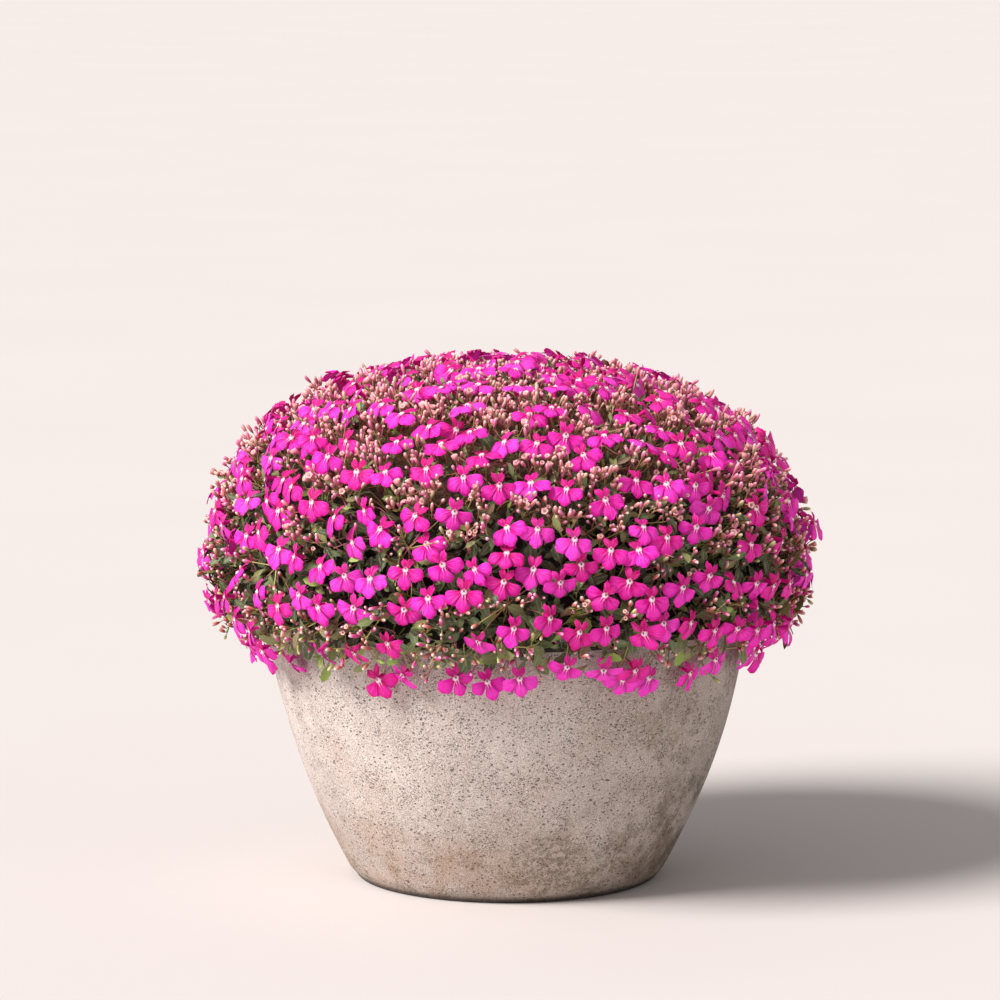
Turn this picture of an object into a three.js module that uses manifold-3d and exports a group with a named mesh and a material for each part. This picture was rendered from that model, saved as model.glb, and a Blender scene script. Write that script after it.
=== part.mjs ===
// Edging lobelia in a cast stone bowl, in millimetres, +Z up, with the origin under the middle of the base.
// The bowl holds compost, and seven plants stand in it: one in the middle and six round it. A plant is a main
// stem and a leafy core, with leaves and buds that stand out of the core. The flowers grow in sprays: a stalk
// stands in a hole in a core, and a thin stalk runs from its head to each flower.
import * as THREE from "three";
import { mergeVertices } from "three/addons/utils/BufferGeometryUtils.js";
import Module from "manifold-3d";

const wasm = await Module();
wasm.setup();

// The bowl
const BOWL_HEIGHT = 138;
const RIM_RADIUS = 124;
const BELLY_RADIUS = 113.3;
const BELLY_HEIGHT = 61.6;
const BASE_RADIUS = 77.6;
const BASE_ROUNDING = 3;
const FOOT_WIDTH = 14;
const FOOT_RISE = 3;
const WALL = 10;
const FLOOR = 14;
const FLOOR_ROUNDING = 5;
const LIP_ROUNDING = 2.5;
const DRAIN_RADIUS = 11;
const CORNER_OUT = 0.5;
const LIP_IN = 0.3;
const ROUND_SIDES = 32;

// The compost
const COMPOST_LEVEL = 127;
const COMPOST_CROWN = 3;
const CLEARANCE = 0.35;

// The layer that the flowers open in: a low dome, and a skirt that falls over the rim
const DOME_CENTRE = 157;
const DOME_RADIUS = 153;
const DOME_RISE = 107;
const DOME_FULLNESS = 0.05;
const SKIRT_DROP = 31;
const SKIRT_TUCK = 14;
const SKIRT_SHARE = 0.2;
const LAYER_STEPS = 240;

// The plants, whose leafy cores together fill the dome under the flowers
const PLANTS_ROUND = 6;
const MIDDLE_PLANT = 52;
const PLANT_RING_RADIUS = 74;
const PLANT_GAP = 0.8;
const CORE_DEPTH = 20;
const CORE_BOTTOM = 140.5;
const HEM_BOTTOM = 130;
const HEM_INNER = 127;
const HEM_OUTER = 130;
const CORE_STEPS = [0.95, 0.82, 0.68, 0.54, 0.4, 0.26, 0.12];
const CORE_LUMP = 4;
const CORE_SIDES = 24;
const MAIN_STEM_RADIUS = 4;
const MAIN_STEM_FOOT = 113;

// The sprays of flowers
const SPRAYS = 48;
const ROWS = [[3, 3], [4, 3], [3, 2], [3, 3], [2, 3], [3, 4]];
const ROW_PITCH = 25;
const ROW_STRAY = 1.6;
const FLOWER_PITCH = 18.6;
const SPRAY_TURN = 0.45;
const HEAD_DEPTH = 11;
const HEAD_RADIUS = 2.4;
const HEAD_RISE = 1.5;
const STALK_HOLE = 2.3;
const ARM_ANGLE = 0.3;

// The flower
const FLOWER_SIZE = 1.2;
const FLOWER_REACH = 10.2;
const FLOWER_LEAN = 0.35;
const FLOWER_SHINGLE = 0.14;
const FLOWER_TILT = 0.1;
const FLOWER_ROLL = 0.22;
const FACE_THICKNESS = 1.2;
const FACE_DROP = 1.1;
const NECK_DEPTH = 2.2;
const NECK_RADIUS = 1.1;
const FLOWER_TRIES = 16;
const FLOWER_STRAY = 0.5;
const STRAY_STEP = 0.15;
const DEPTH_STRAY = 1;
const DEPTH_STEP = 0.35;
const PETAL_GAP = 0.55;
const STALK_GAP = 2.9;
const STALK_SAMPLES = [0.2, 0.35, 0.5, 0.65, 0.8, 1];

// Buds, a few on each spray
const BUDS_EACH = 2;
const BUD_TRIES = 24;
const BUD_RADIUS = 1.7;
const BUD_LENGTH = 7;
const BUD_NECK = 0.8;
const BUD_GAP = 0.5;
const BUD_SPACING = 6.8;
const BUD_NEAREST = 9;
const BUD_RANGE = 13;
const BUD_LOWEST = 1;
const BUD_RAISE = 5;
const BUD_SAMPLES = [0.35, 0.5, 0.6, 0.7, 0.8, 0.9, 1];

// Leafy shoots
const SHOOTS = 48;
const SHOOT_DEPTH = 14;
const SHOOT_HEAD = 1.7;
const LEAVES_EACH = 4;
const LEAVES_LEAST = 3;
const LEAF_LENGTH = 20;
const LEAF_SHORTEST = 0.85;
const LEAF_RANGE = 0.35;
const LEAF_STRAY = 0.12;
const LEAF_SLOPE = 0.2;
const LEAF_SLOPE_RANGE = 0.5;
const LEAF_THICKNESS = 1.4;
const LEAF_ARCH = 0.09;
const LEAF_TRIES = 24;
const LEAF_GAP = 1.1;
const LEAF_SPACING = 3.3;
const ROOT_DEPTH = 9;
const ROOT_SAMPLES = [0, 0.2, 0.4, 0.6, 0.8];
const RIM_GAP = 1.5;

// Things further apart than this can't touch, and each new try for a place draws anew.
const NEIGHBOURS = 70;
const TRY = 1000;

const GOLDEN_ANGLE = Math.PI * (3 - Math.sqrt(5));
const vec = (x, y, z = 0) => new THREE.Vector3(x, y, z);
const series = (count, make) => Array.from({ length: count }, (_, i) => make(i));

// A seeded draw for each item and use: from 0 to 1, or from -1 to 1.
function draw(item, use) {
  const wave = Math.sin(item * 12.9898 + use * 78.233) * 43758.5453;
  return wave - Math.floor(wave);
}
const spread = (item, use) => 2 * draw(item, use) - 1;

// Solids

// A closed mesh from points and faces. A face lists its points counter-clockwise as seen from outside.
function meshOf(points, faces) {
  return new THREE.BufferGeometry().setFromPoints(points).setIndex(faces.flat());
}

function solidOf(geometry) {
  const bare = geometry.clone();
  bare.deleteAttribute("normal");
  bare.deleteAttribute("uv");
  const merged = mergeVertices(bare, 1e-4);
  return new wasm.Manifold(
    new wasm.Mesh({
      numProp: 3,
      vertProperties: new Float32Array(merged.attributes.position.array),
      triVerts: new Uint32Array(merged.index.array),
    }),
  );
}

function geometryFrom(solid) {
  const mesh = solid.getMesh();
  const geometry = new THREE.BufferGeometry();
  geometry.setAttribute("position", new THREE.BufferAttribute(new Float32Array(mesh.vertProperties), 3));
  geometry.setIndex(new THREE.BufferAttribute(new Uint32Array(mesh.triVerts), 1));
  return geometry;
}

// A body of revolution about Z, from [radius, height] pairs that run up its outside.
function turned(profile, sides = ROUND_SIDES) {
  const points = profile.map(([radius, height]) => new THREE.Vector2(radius, height));
  return new THREE.LatheGeometry(points, sides).rotateX(Math.PI / 2);
}

// An upright prism between two heights, from the corners of its plan.
function upright(corners, bottom, top) {
  const shape = new THREE.Shape(corners.map((p) => new THREE.Vector2(p.x, p.y)));
  const prism = new THREE.ExtrudeGeometry(shape, { depth: top - bottom, bevelEnabled: false });
  return prism.translate(0, 0, bottom);
}

const hexagon = (radius, x = 0, y = 0) =>
  series(6, (k) => vec(x + radius * Math.cos((k * Math.PI) / 3), y + radius * Math.sin((k * Math.PI) / 3)));

// The dome's shape

// Radius and height of the flower layer at s: 0 at the crown, 1 where it is widest, and more down the skirt.
function layerAt(s) {
  if (s <= 1) {
    const angle = (s * Math.PI) / 2;
    const full = 1 + DOME_FULLNESS * Math.sin(2 * angle) ** 2;
    return [DOME_RADIUS * Math.sin(angle) * full, DOME_CENTRE + DOME_RISE * Math.cos(angle) * full];
  }
  const fall = (s - 1) / SKIRT_SHARE;
  return [DOME_RADIUS - SKIRT_TUCK * fall ** 2, DOME_CENTRE - SKIRT_DROP * fall];
}

// The layer as a list of steps from crown to hem, each with its outward normal and the area down to it.
const LAYER = [];
for (let i = 0; i <= LAYER_STEPS; i++) {
  const s = (i / LAYER_STEPS) * (1 + SKIRT_SHARE);
  const [r, z] = layerAt(s);
  const [lastR, lastZ] = layerAt(Math.max(0, s - 1e-4));
  const [nextR, nextZ] = layerAt(s + 1e-4);
  const length = Math.hypot(nextR - lastR, nextZ - lastZ);
  const above = LAYER[i - 1];
  const area = above ? above.area + (r + above.r) * Math.hypot(r - above.r, z - above.z) : 0;
  LAYER.push({ r, z, outR: (lastZ - nextZ) / length, outZ: (nextR - lastR) / length, area });
}

// A place on the layer: its point, its outward normal, and its two tangents, round the dome and up it.
function placeAt(step, azimuth) {
  const { r, z, outR, outZ } = LAYER[step];
  const radial = vec(Math.cos(azimuth), Math.sin(azimuth));
  const round = vec(-radial.y, radial.x);
  const out = radial.clone().multiplyScalar(outR).setZ(outZ);
  const point = radial.clone().multiplyScalar(r).setZ(z);
  return { point, out, round, up: out.clone().cross(round), radial };
}

// Place i of a number that share the layer evenly, on a golden spiral from the crown to the hem.
function sharedPlace(i, count, turn) {
  const area = ((i + 0.5) / count) * LAYER[LAYER_STEPS].area;
  return placeAt(LAYER.findIndex((at) => at.area >= area), i * GOLDEN_ANGLE + turn);
}

// The place on the layer that is nearest to a point.
function seat(point) {
  const radius = Math.hypot(point.x, point.y);
  let nearest = 0;
  let least = Infinity;
  LAYER.forEach(({ r, z }, step) => {
    const away = Math.hypot(r - radius, z - point.z);
    if (away < least) [nearest, least] = [step, away];
  });
  return placeAt(nearest, Math.atan2(point.y, point.x));
}

const offset = (place, across, along, outward) =>
  place.point
    .clone()
    .addScaledVector(place.round, across)
    .addScaledVector(place.up, along)
    .addScaledVector(place.out, outward);

// The bowl and its compost

const BOWL_SIDE = new THREE.QuadraticBezierCurve(
  new THREE.Vector2(BASE_RADIUS, 0),
  new THREE.Vector2(BELLY_RADIUS, BELLY_HEIGHT),
  new THREE.Vector2(RIM_RADIUS, BOWL_HEIGHT),
);
const INSIDE_STEPS = [0.16, 0.5].map((t) => BOWL_SIDE.getPoint(t));

function bowl() {
  const foot = BASE_RADIUS - BASE_ROUNDING;
  const outside = BOWL_SIDE.getPoints(5).slice(1, -1);
  return turned([
    [DRAIN_RADIUS, FOOT_RISE],
    [foot - FOOT_WIDTH, FOOT_RISE],
    [foot - FOOT_WIDTH + FOOT_RISE, 0],
    [foot, 0],
    [BASE_RADIUS + CORNER_OUT, 0.8 * BASE_ROUNDING],
    ...outside.map(({ x, y }) => [x, y]),
    [RIM_RADIUS - LIP_IN, BOWL_HEIGHT - LIP_ROUNDING],
    [RIM_RADIUS - LIP_ROUNDING, BOWL_HEIGHT],
    [RIM_RADIUS - WALL + LIP_ROUNDING, BOWL_HEIGHT],
    [RIM_RADIUS - WALL, BOWL_HEIGHT - LIP_ROUNDING],
    ...INSIDE_STEPS.map(({ x, y }) => [x - WALL, y]).reverse(),
    [INSIDE_STEPS[0].x - WALL - FLOOR_ROUNDING, FLOOR],
    [DRAIN_RADIUS, FLOOR],
    [DRAIN_RADIUS, FOOT_RISE],
  ]);
}

// The compost fills the bowl to its level, a clearance inside the wall, with a hole for each main stem.
function compost() {
  const inner = WALL + CLEARANCE;
  const [low, high] = INSIDE_STEPS;
  const share = (COMPOST_LEVEL - high.y) / (BOWL_HEIGHT - LIP_ROUNDING - high.y);
  const brim = high.x + share * (RIM_RADIUS - high.x) - inner;
  const profile = [
    [0, FLOOR + CLEARANCE],
    [low.x - inner - FLOOR_ROUNDING, FLOOR + CLEARANCE],
    ...INSIDE_STEPS.map(({ x, y }) => [x - inner, y]),
    [brim, COMPOST_LEVEL],
    [0, COMPOST_LEVEL + COMPOST_CROWN],
  ];
  const holes = plantFeet().map(({ x, y }) => {
    const corners = hexagon(MAIN_STEM_RADIUS + CLEARANCE, x, y);
    return solidOf(upright(corners, MAIN_STEM_FOOT - CLEARANCE, BOWL_HEIGHT));
  });
  return geometryFrom(holes.reduce((rest, hole) => rest.subtract(hole), solidOf(turned(profile))));
}

// The plants' shares of the dome

const SIXTH = (2 * Math.PI) / PLANTS_ROUND;
const PLANT_WAYS = series(PLANTS_ROUND, (k) => vec(Math.cos((k + 0.5) * SIXTH), Math.sin((k + 0.5) * SIXTH)));
const plantFeet = () => [vec(0, 0), ...PLANT_WAYS.map((way) => way.clone().multiplyScalar(PLANT_RING_RADIUS))];

// How far a point is outside the middle plant's hexagon.
const beyondMiddle = (point) =>
  Math.max(...PLANT_WAYS.map((way) => way.dot(point))) - MIDDLE_PLANT * Math.cos(SIXTH / 2);

// Plant 0 has the middle of the dome, and the others a sixth each of what lies round it.
function plantAt(point) {
  if (beyondMiddle(point) < 0) return 0;
  const azimuth = (Math.atan2(point.y, point.x) + 2 * Math.PI) % (2 * Math.PI);
  return 1 + Math.floor(azimuth / SIXTH);
}

// The solid of a plant's share, smaller than the share by half the gap between plants.
function shareSolid(plant) {
  const half = PLANT_GAP / 2;
  const top = DOME_CENTRE + DOME_RISE;
  const reach = DOME_RADIUS + CORE_DEPTH;
  if (plant === 0) return solidOf(upright(hexagon(MIDDLE_PLANT - half), 0, top));
  const way = PLANT_WAYS[plant - 1];
  const corners = [-1, 1].map((side) => way.clone().applyAxisAngle(vec(0, 0, 1), (side * SIXTH) / 2));
  const middle = solidOf(upright(hexagon(MIDDLE_PLANT + half), 0, top));
  const nose = way.clone().multiplyScalar(half / Math.sin(SIXTH / 2));
  const plan = [nose, ...corners.map((corner) => nose.clone().addScaledVector(corner, 1.2 * reach))];
  return solidOf(upright(plan, 0, top)).subtract(middle);
}

// How far the core stands out at a place, in lumps that turn as they rise.
const lumpAt = (azimuth, height) =>
  CORE_LUMP * Math.sin(11 * azimuth + height / 6) * Math.cos(height / 11 + 4 * azimuth);

// The lumpy dome that the cores are cut from. Its hem hangs over the rim.
function coreDome() {
  const under = CORE_STEPS.map((s) => {
    const { r, z, outR, outZ } = LAYER[Math.round((s / (1 + SKIRT_SHARE)) * LAYER_STEPS)];
    return [r - CORE_DEPTH * outR, z - CORE_DEPTH * outZ];
  });
  const profile = [
    [0, CORE_BOTTOM],
    [HEM_INNER, CORE_BOTTOM],
    [HEM_INNER + 1, HEM_BOTTOM + 2],
    [HEM_OUTER, HEM_BOTTOM],
    ...under,
    [0, DOME_CENTRE + DOME_RISE - CORE_DEPTH],
  ];
  const dome = turned(profile, CORE_SIDES);
  const position = dome.attributes.position;
  for (let i = 0; i < position.count; i++) {
    const point = vec(position.getX(i), position.getY(i), position.getZ(i));
    const radius = Math.hypot(point.x, point.y);
    if (point.z < CORE_BOTTOM + 1 || radius < 1) continue;
    const lump = lumpAt(Math.atan2(point.y, point.x), point.z);
    const wide = 1 + lump / radius;
    position.setXYZ(i, point.x * wide, point.y * wide, point.z + lump / 2);
  }
  return solidOf(dome);
}

// The flower's form

// Half of the open flower's edge from straight down to straight up, as [angle in degrees, distance from the
// eye, set back]: half of the middle lower lobe, a side lobe, and one of the two narrow upper lobes.
const HALF_EDGE = [
  [21, 10.2, 0.9],
  [35, 4.8, 0.3],
  [48, 9.8, 1.0],
  [88, 9.6, 1.2],
  [120, 2.7, 0.3],
  [161, 7.4, 1.9],
];
const FLOWER_EDGE = [
  ...HALF_EDGE,
  [180, 2.9, 0.4],
  ...HALF_EDGE.map(([angle, ...rest]) => [360 - angle, ...rest]).reverse(),
].map(([angle, distance, back]) => {
  const turn = (angle * Math.PI) / 180;
  return vec(distance * Math.sin(turn), -distance * Math.cos(turn), -back).multiplyScalar(FLOWER_SIZE);
});
const EDGE_ANGLES = FLOWER_EDGE.map((p) => (Math.atan2(p.x, -p.y) + 2 * Math.PI) % (2 * Math.PI));
const FLOWER_EYE = vec(0, 0, 0.2);

// Where the flowers of a spray would stand, row by row, as [across, up] from its middle.
function spots(i) {
  const rows = ROWS[Math.floor(draw(i, 1) * ROWS.length)];
  const shift = (spread(i, 2) * FLOWER_PITCH) / 4;
  return rows.flatMap((count, row) =>
    series(count, (j) => [
      (j - (count - 1) / 2) * FLOWER_PITCH + (row ? shift : -shift),
      (row - 0.5) * ROW_PITCH + spread(i, 5 + j + 5 * row) * ROW_STRAY,
    ]),
  );
}

// A flower's pose on its spot. Each further try moves it a little more.
function flowerPose(centre, i, [across, along], number, attempt) {
  const item = number + TRY * attempt;
  const turn = spread(i, 3) * SPRAY_TURN;
  const [c, s] = [Math.cos(turn), Math.sin(turn)];
  const stray = FLOWER_STRAY + STRAY_STEP * attempt;
  const x = across * c - along * s + spread(item, 31) * stray;
  const y = across * s + along * c + spread(item, 32) * stray;
  const place = seat(offset(centre, x, y, 0));
  const shingle = (draw(i, 4) < 0.5 ? -1 : 1) * FLOWER_SHINGLE;
  const face = place.out
    .clone()
    .addScaledVector(place.radial, FLOWER_LEAN)
    .addScaledVector(place.round, shingle + spread(item, 33) * FLOWER_TILT)
    .addScaledVector(place.up, spread(item, 34) * FLOWER_TILT)
    .normalize();
  const roll = spread(item, 35) * FLOWER_ROLL;
  const top = place.up.clone().multiplyScalar(Math.cos(roll)).addScaledVector(place.round, Math.sin(roll));
  const right = top.cross(face).normalize();
  const eye = offset(place, 0, 0, spread(item, 36) * (DEPTH_STRAY + DEPTH_STEP * attempt));
  return new THREE.Matrix4().makeBasis(right, face.clone().cross(right), face).setPosition(eye);
}

// What a flower keeps clear of others: points over its face, and points along its stalk from the head.
function flowerBody(pose, head) {
  const face = [FLOWER_EYE, ...FLOWER_EDGE, ...FLOWER_EDGE.map((p) => p.clone().multiplyScalar(0.6))];
  const neck = vec(0, 0, -NECK_DEPTH).applyMatrix4(pose);
  return {
    pose,
    inverse: pose.clone().invert(),
    eye: vec(0, 0, 0).applyMatrix4(pose),
    face: face.map((p) => p.clone().applyMatrix4(pose)),
    stalk: STALK_SAMPLES.map((t) => head.clone().lerp(neck, t)),
    head,
  };
}

// How far the edge is from the eye at an angle from straight down.
function edgeReach(turned) {
  const angle = (turned + 4 * Math.PI) % (2 * Math.PI);
  const next = Math.max(EDGE_ANGLES.findIndex((each) => each > angle), 0);
  const [p, q] = [FLOWER_EDGE.at(next - 1), FLOWER_EDGE[next]];
  const [dx, dy] = [q.x - p.x, q.y - p.y];
  const [x, y] = [Math.sin(angle), -Math.cos(angle)];
  return (p.x * dy - p.y * dx) / (x * dy - y * dx);
}

// Whether a point is nearer to a flower's face than the gap. Other flowers keep clear of the whole round of it,
// and thin things only of its lobes.
function inFace(body, point, gap, lobesOnly = false) {
  const local = point.clone().applyMatrix4(body.inverse);
  const radius = Math.hypot(local.x, local.y);
  const reach = FLOWER_REACH * FLOWER_SIZE + gap;
  if (radius > reach) return false;
  const angle = Math.atan2(local.x, -local.y);
  const nearLobe = (side) => radius < edgeReach(angle + (side * gap) / radius) + gap;
  if (lobesOnly && ![-1, 0, 1].some(nearLobe)) return false;
  const share = radius / reach;
  const middle = -FACE_DROP * (1 - share + share ** 2);
  return Math.abs(local.z - middle) < FACE_THICKNESS * (1 - share) + gap;
}

// Whether two flowers or their stalks would touch.
function meets(a, b) {
  if (a.eye.distanceTo(b.eye) > NEIGHBOURS) return false;
  if (a.face.some((p) => inFace(b, p, PETAL_GAP)) || b.face.some((p) => inFace(a, p, PETAL_GAP))) return true;
  const thick = PETAL_GAP + NECK_RADIUS;
  if (a.stalk.some((p) => inFace(b, p, thick)) || b.stalk.some((p) => inFace(a, p, thick))) return true;
  return a.head !== b.head && a.stalk.some((p) => b.stalk.some((q) => p.distanceTo(q) < STALK_GAP));
}

// The sprays: each has a head under the layer, a root in the core, and the flowers and buds that found room.
function placeSprays() {
  const placed = [];
  const sprays = series(SPRAYS, (i) => {
    const centre = sharedPlace(i, SPRAYS, 0);
    const head = offset(centre, 0, 0, -HEAD_DEPTH);
    const flowers = [];
    spots(i).forEach((spot, j) => {
      for (let attempt = 0; attempt < FLOWER_TRIES; attempt++) {
        const body = flowerBody(flowerPose(centre, i, spot, 10 * i + j, attempt), head);
        if (crowds(centre, head, body.eye, flowers)) continue;
        if (placed.some((other) => meets(other, body))) continue;
        placed.push(body);
        flowers.push(body);
        return;
      }
    });
    return { centre, head, root: offset(centre, 0, 0, -CORE_DEPTH - ROOT_DEPTH), flowers };
  });
  const buds = [];
  sprays.forEach((spray, i) => {
    spray.buds = [];
    series(BUDS_EACH, (j) => budFor(spray, 10 * i + j, placed, buds));
  });
  return sprays;
}

// The angle about a head of the way to a point.
function angleAbout({ round, up }, head, point) {
  const away = point.clone().sub(head);
  return Math.atan2(away.dot(up), away.dot(round));
}

// Whether an arm of a head to a point would be too close to another arm's angle.
const crowds = (centre, head, point, arms) =>
  arms.some(({ eye }) => {
    const apart = angleAbout(centre, head, eye) - angleAbout(centre, head, point);
    return Math.cos(apart) > Math.cos(ARM_ANGLE);
  });

// Adds a bud to a spray, where a stalk to it has room among the flowers and their stalks.
function budFor(spray, number, bodies, buds) {
  const { centre, head } = spray;
  for (let attempt = 0; attempt < BUD_TRIES; attempt++) {
    const item = number + TRY * attempt;
    const turn = draw(item, 51) * 2 * Math.PI;
    const away = BUD_NEAREST + BUD_RANGE * draw(item, 52);
    const place = seat(offset(centre, away * Math.cos(turn), away * Math.sin(turn), 0));
    const tip = offset(place, 0, 0, BUD_LOWEST + BUD_RAISE * draw(item, 53));
    const samples = BUD_SAMPLES.map((t) => head.clone().lerp(tip, t));
    const thick = BUD_RADIUS + BUD_GAP;
    const shut = bodies.some((body) => {
      const beside = body.head === head ? body.stalk.slice(1) : body.stalk;
      return samples.some((p) => inFace(body, p, thick, true) || beside.some((q) => p.distanceTo(q) < thick));
    });
    if (shut || buds.some((bud) => bud.eye.distanceTo(tip) < BUD_SPACING)) continue;
    if (crowds(centre, head, tip, [...spray.flowers, ...spray.buds])) continue;
    const bud = { eye: tip, samples };
    buds.push(bud);
    spray.buds.push(bud);
    return;
  }
}

// The spray as one mesh

// Faces of the band on the back of a flower, between its edge and its three neck points, both with angles that
// rise as they run round. Each step moves on along the ring whose next middle comes first.
function backBand(edge, neck) {
  const faces = [];
  const angleAt = (ring, k) => ring[k % ring.length].angle + 2 * Math.PI * Math.floor(k / ring.length);
  const middleAfter = (ring, k) => (angleAt(ring, k) + angleAt(ring, k + 1)) / 2;
  let [i, j] = [0, 0];
  while (i < edge.length || j < neck.length) {
    const [e, n] = [edge[i % edge.length].index, neck[j % neck.length].index];
    const onEdge = j === neck.length || (i < edge.length && middleAfter(edge, i) < middleAfter(neck, j));
    if (onEdge) faces.push([edge[(i + 1) % edge.length].index, e, n]);
    else faces.push([n, neck[(j + 1) % neck.length].index, e]);
    if (onEdge) i++;
    else j++;
  }
  return faces;
}

// The angles of a ring of points about a flower's face, unwrapped from the first.
function ringOf(pose, points, indices) {
  const inverse = pose.clone().invert();
  let last = null;
  return indices.map((index) => {
    const local = points[index].clone().applyMatrix4(inverse);
    let angle = Math.atan2(local.y, local.x);
    while (last !== null && angle < last) angle += 2 * Math.PI;
    last = angle;
    return { index, angle };
  });
}

// A cluster: a head with a root below it, and an arm out of each of its upper faces, in order round the head.
// An arm is an object with an eye, the point that it reaches for, and a make function, which adds its points
// and faces on a base of three points.
function cluster({ centre, head, root, radius, rise }, arms) {
  const angleOf = ({ eye }) => angleAbout(centre, head, eye);
  const ordered = [...arms].sort((a, b) => angleOf(a) - angleOf(b));
  const count = ordered.length;
  const ring = ordered.map((arm, i) => {
    const before = angleOf(ordered[(i + count - 1) % count]) - (i === 0 ? 2 * Math.PI : 0);
    const angle = (before + angleOf(arm)) / 2;
    return head
      .clone()
      .addScaledVector(centre.round, radius * Math.cos(angle))
      .addScaledVector(centre.up, radius * Math.sin(angle));
  });
  const points = [head.clone().addScaledVector(centre.out, rise), root, ...ring];
  const faces = [];
  ordered.forEach((arm, i) => {
    const base = [0, 2 + i, 2 + ((i + 1) % count)];
    faces.push([1, base[2], base[1]]);
    arm.make(points, faces, base);
  });
  return meshOf(points, faces);
}

// Three sides from one ring of three points to the next.
function sleeve(faces, base, end) {
  end.forEach((_, k) => {
    const next = (k + 1) % 3;
    faces.push([base[k], base[next], end[next]], [base[k], end[next], end[k]]);
  });
}

// Adds points and returns their numbers.
function append(points, more) {
  points.push(...more);
  return more.map((_, k) => points.length - more.length + k);
}

// A ring of three points about an axis, in step with the three points of a base.
function ringInStep(points, base, middle, axis, radius) {
  const [first, second, third] = base.map((k) => points[k]);
  const centre = first.clone().add(second).add(third).divideScalar(3);
  const way = first.clone().sub(centre).projectOnPlane(axis).setLength(radius);
  return series(3, (k) => middle.clone().add(way.clone().applyAxisAngle(axis, (k * 2 * Math.PI) / 3)));
}

// A flower on its stalk. Its back opens from the stalk's end to its edge.
function makeFlower(pose, points, faces, base) {
  const neckAt = vec(0, 0, -NECK_DEPTH).applyMatrix4(pose);
  const face = vec(0, 0, 1).transformDirection(pose);
  const axis = neckAt.clone().sub(points[base[0]]).normalize().add(face).normalize();
  const neck = append(points, ringInStep(points, base, neckAt, axis, NECK_RADIUS));
  const edge = append(points, FLOWER_EDGE.map((p) => p.clone().applyMatrix4(pose)));
  const [eye] = append(points, [FLOWER_EYE.clone().applyMatrix4(pose)]);
  sleeve(faces, base, neck);
  edge.forEach((e, k) => faces.push([eye, e, edge[(k + 1) % edge.length]]));
  faces.push(...backBand(...alignedRings(pose, points, edge, neck)));
}

// A bud on its stalk: three-sided and thickest in its middle.
function makeBud(tip, points, faces, base) {
  const axis = tip.clone().sub(points[base[0]]).normalize();
  const neckAt = tip.clone().addScaledVector(axis, -BUD_LENGTH);
  const bellyAt = tip.clone().addScaledVector(axis, -BUD_LENGTH / 2);
  const neck = append(points, ringInStep(points, base, neckAt, axis, BUD_NECK));
  const belly = append(points, ringInStep(points, base, bellyAt, axis, BUD_RADIUS));
  const [end] = append(points, [tip]);
  sleeve(faces, base, neck);
  sleeve(faces, neck, belly);
  belly.forEach((b, k) => faces.push([b, belly[(k + 1) % 3], end]));
}

function sprayGeometry(spray) {
  const flowers = spray.flowers.map(({ eye, pose }) => ({ eye, make: (...to) => makeFlower(pose, ...to) }));
  const buds = spray.buds.map(({ eye }) => ({ eye, make: (...to) => makeBud(eye, ...to) }));
  return cluster({ ...spray, radius: HEAD_RADIUS, rise: HEAD_RISE }, [...flowers, ...buds]);
}

// Both rings with their angles, the neck's turned so that it starts nearest to where the edge starts.
function alignedRings(pose, points, edge, neck) {
  const outer = ringOf(pose, points, edge);
  const away = (start) => {
    const [{ angle }] = ringOf(pose, points, [neck[start]]);
    return Math.abs(((angle - outer[0].angle + 3 * Math.PI) % (2 * Math.PI)) - Math.PI);
  };
  const start = [0, 1, 2].sort((a, b) => away(a) - away(b))[0];
  const inner = ringOf(pose, points, series(3, (k) => neck[(start + k) % 3]));
  const turns = Math.round((outer[0].angle - inner[0].angle) / (2 * Math.PI));
  return [outer, inner.map(({ index, angle }) => ({ index, angle: angle + turns * 2 * Math.PI }))];
}

// The leafy shoots

// Half of a leaf's edge from its foot to its tip as shares of its length, [across, along], with two teeth.
const HALF_LEAF = [[0.27, 0.58], [0.19, 0.66], [0.23, 0.82], [0.12, 0.87]];
const LEAF_EDGE = [...HALF_LEAF, [0, 1], ...HALF_LEAF.map(([x, y]) => [-x, y]).reverse()];
const LEAF_MIDDLE = 0.6;
const LEAF_TIP = HALF_LEAF.length;

// The points of a leaf: its edge, and a middle on each face that makes it thick.
function leafPoints(foot, along, out, length) {
  const across = along.clone().cross(out).normalize();
  const face = across.clone().cross(along);
  const at = (x, y, z) =>
    foot
      .clone()
      .addScaledVector(across, x * length)
      .addScaledVector(along, y * length)
      .addScaledVector(face, z);
  const drop = (y) => -LEAF_ARCH * length * ((y - LEAF_MIDDLE) / LEAF_MIDDLE) ** 2;
  return [
    ...LEAF_EDGE.map(([x, y]) => at(x, y, drop(y))),
    at(0, LEAF_MIDDLE, LEAF_THICKNESS / 2),
    at(0, LEAF_MIDDLE, -LEAF_THICKNESS / 2),
  ];
}

// A leaf on a base of three points: the first is on the side of its upper face, and the others are its foot.
function makeLeaf(leaf, points, faces, [top, right, left]) {
  const numbers = append(points, leaf);
  const [front, back] = numbers.slice(-2);
  const edge = [right, ...numbers.slice(0, -2), left];
  edge.slice(1).forEach((e, k) => faces.push([front, edge[k], e], [back, e, edge[k]]));
  faces.push([front, left, top], [front, top, right], [back, right, left]);
}

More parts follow.
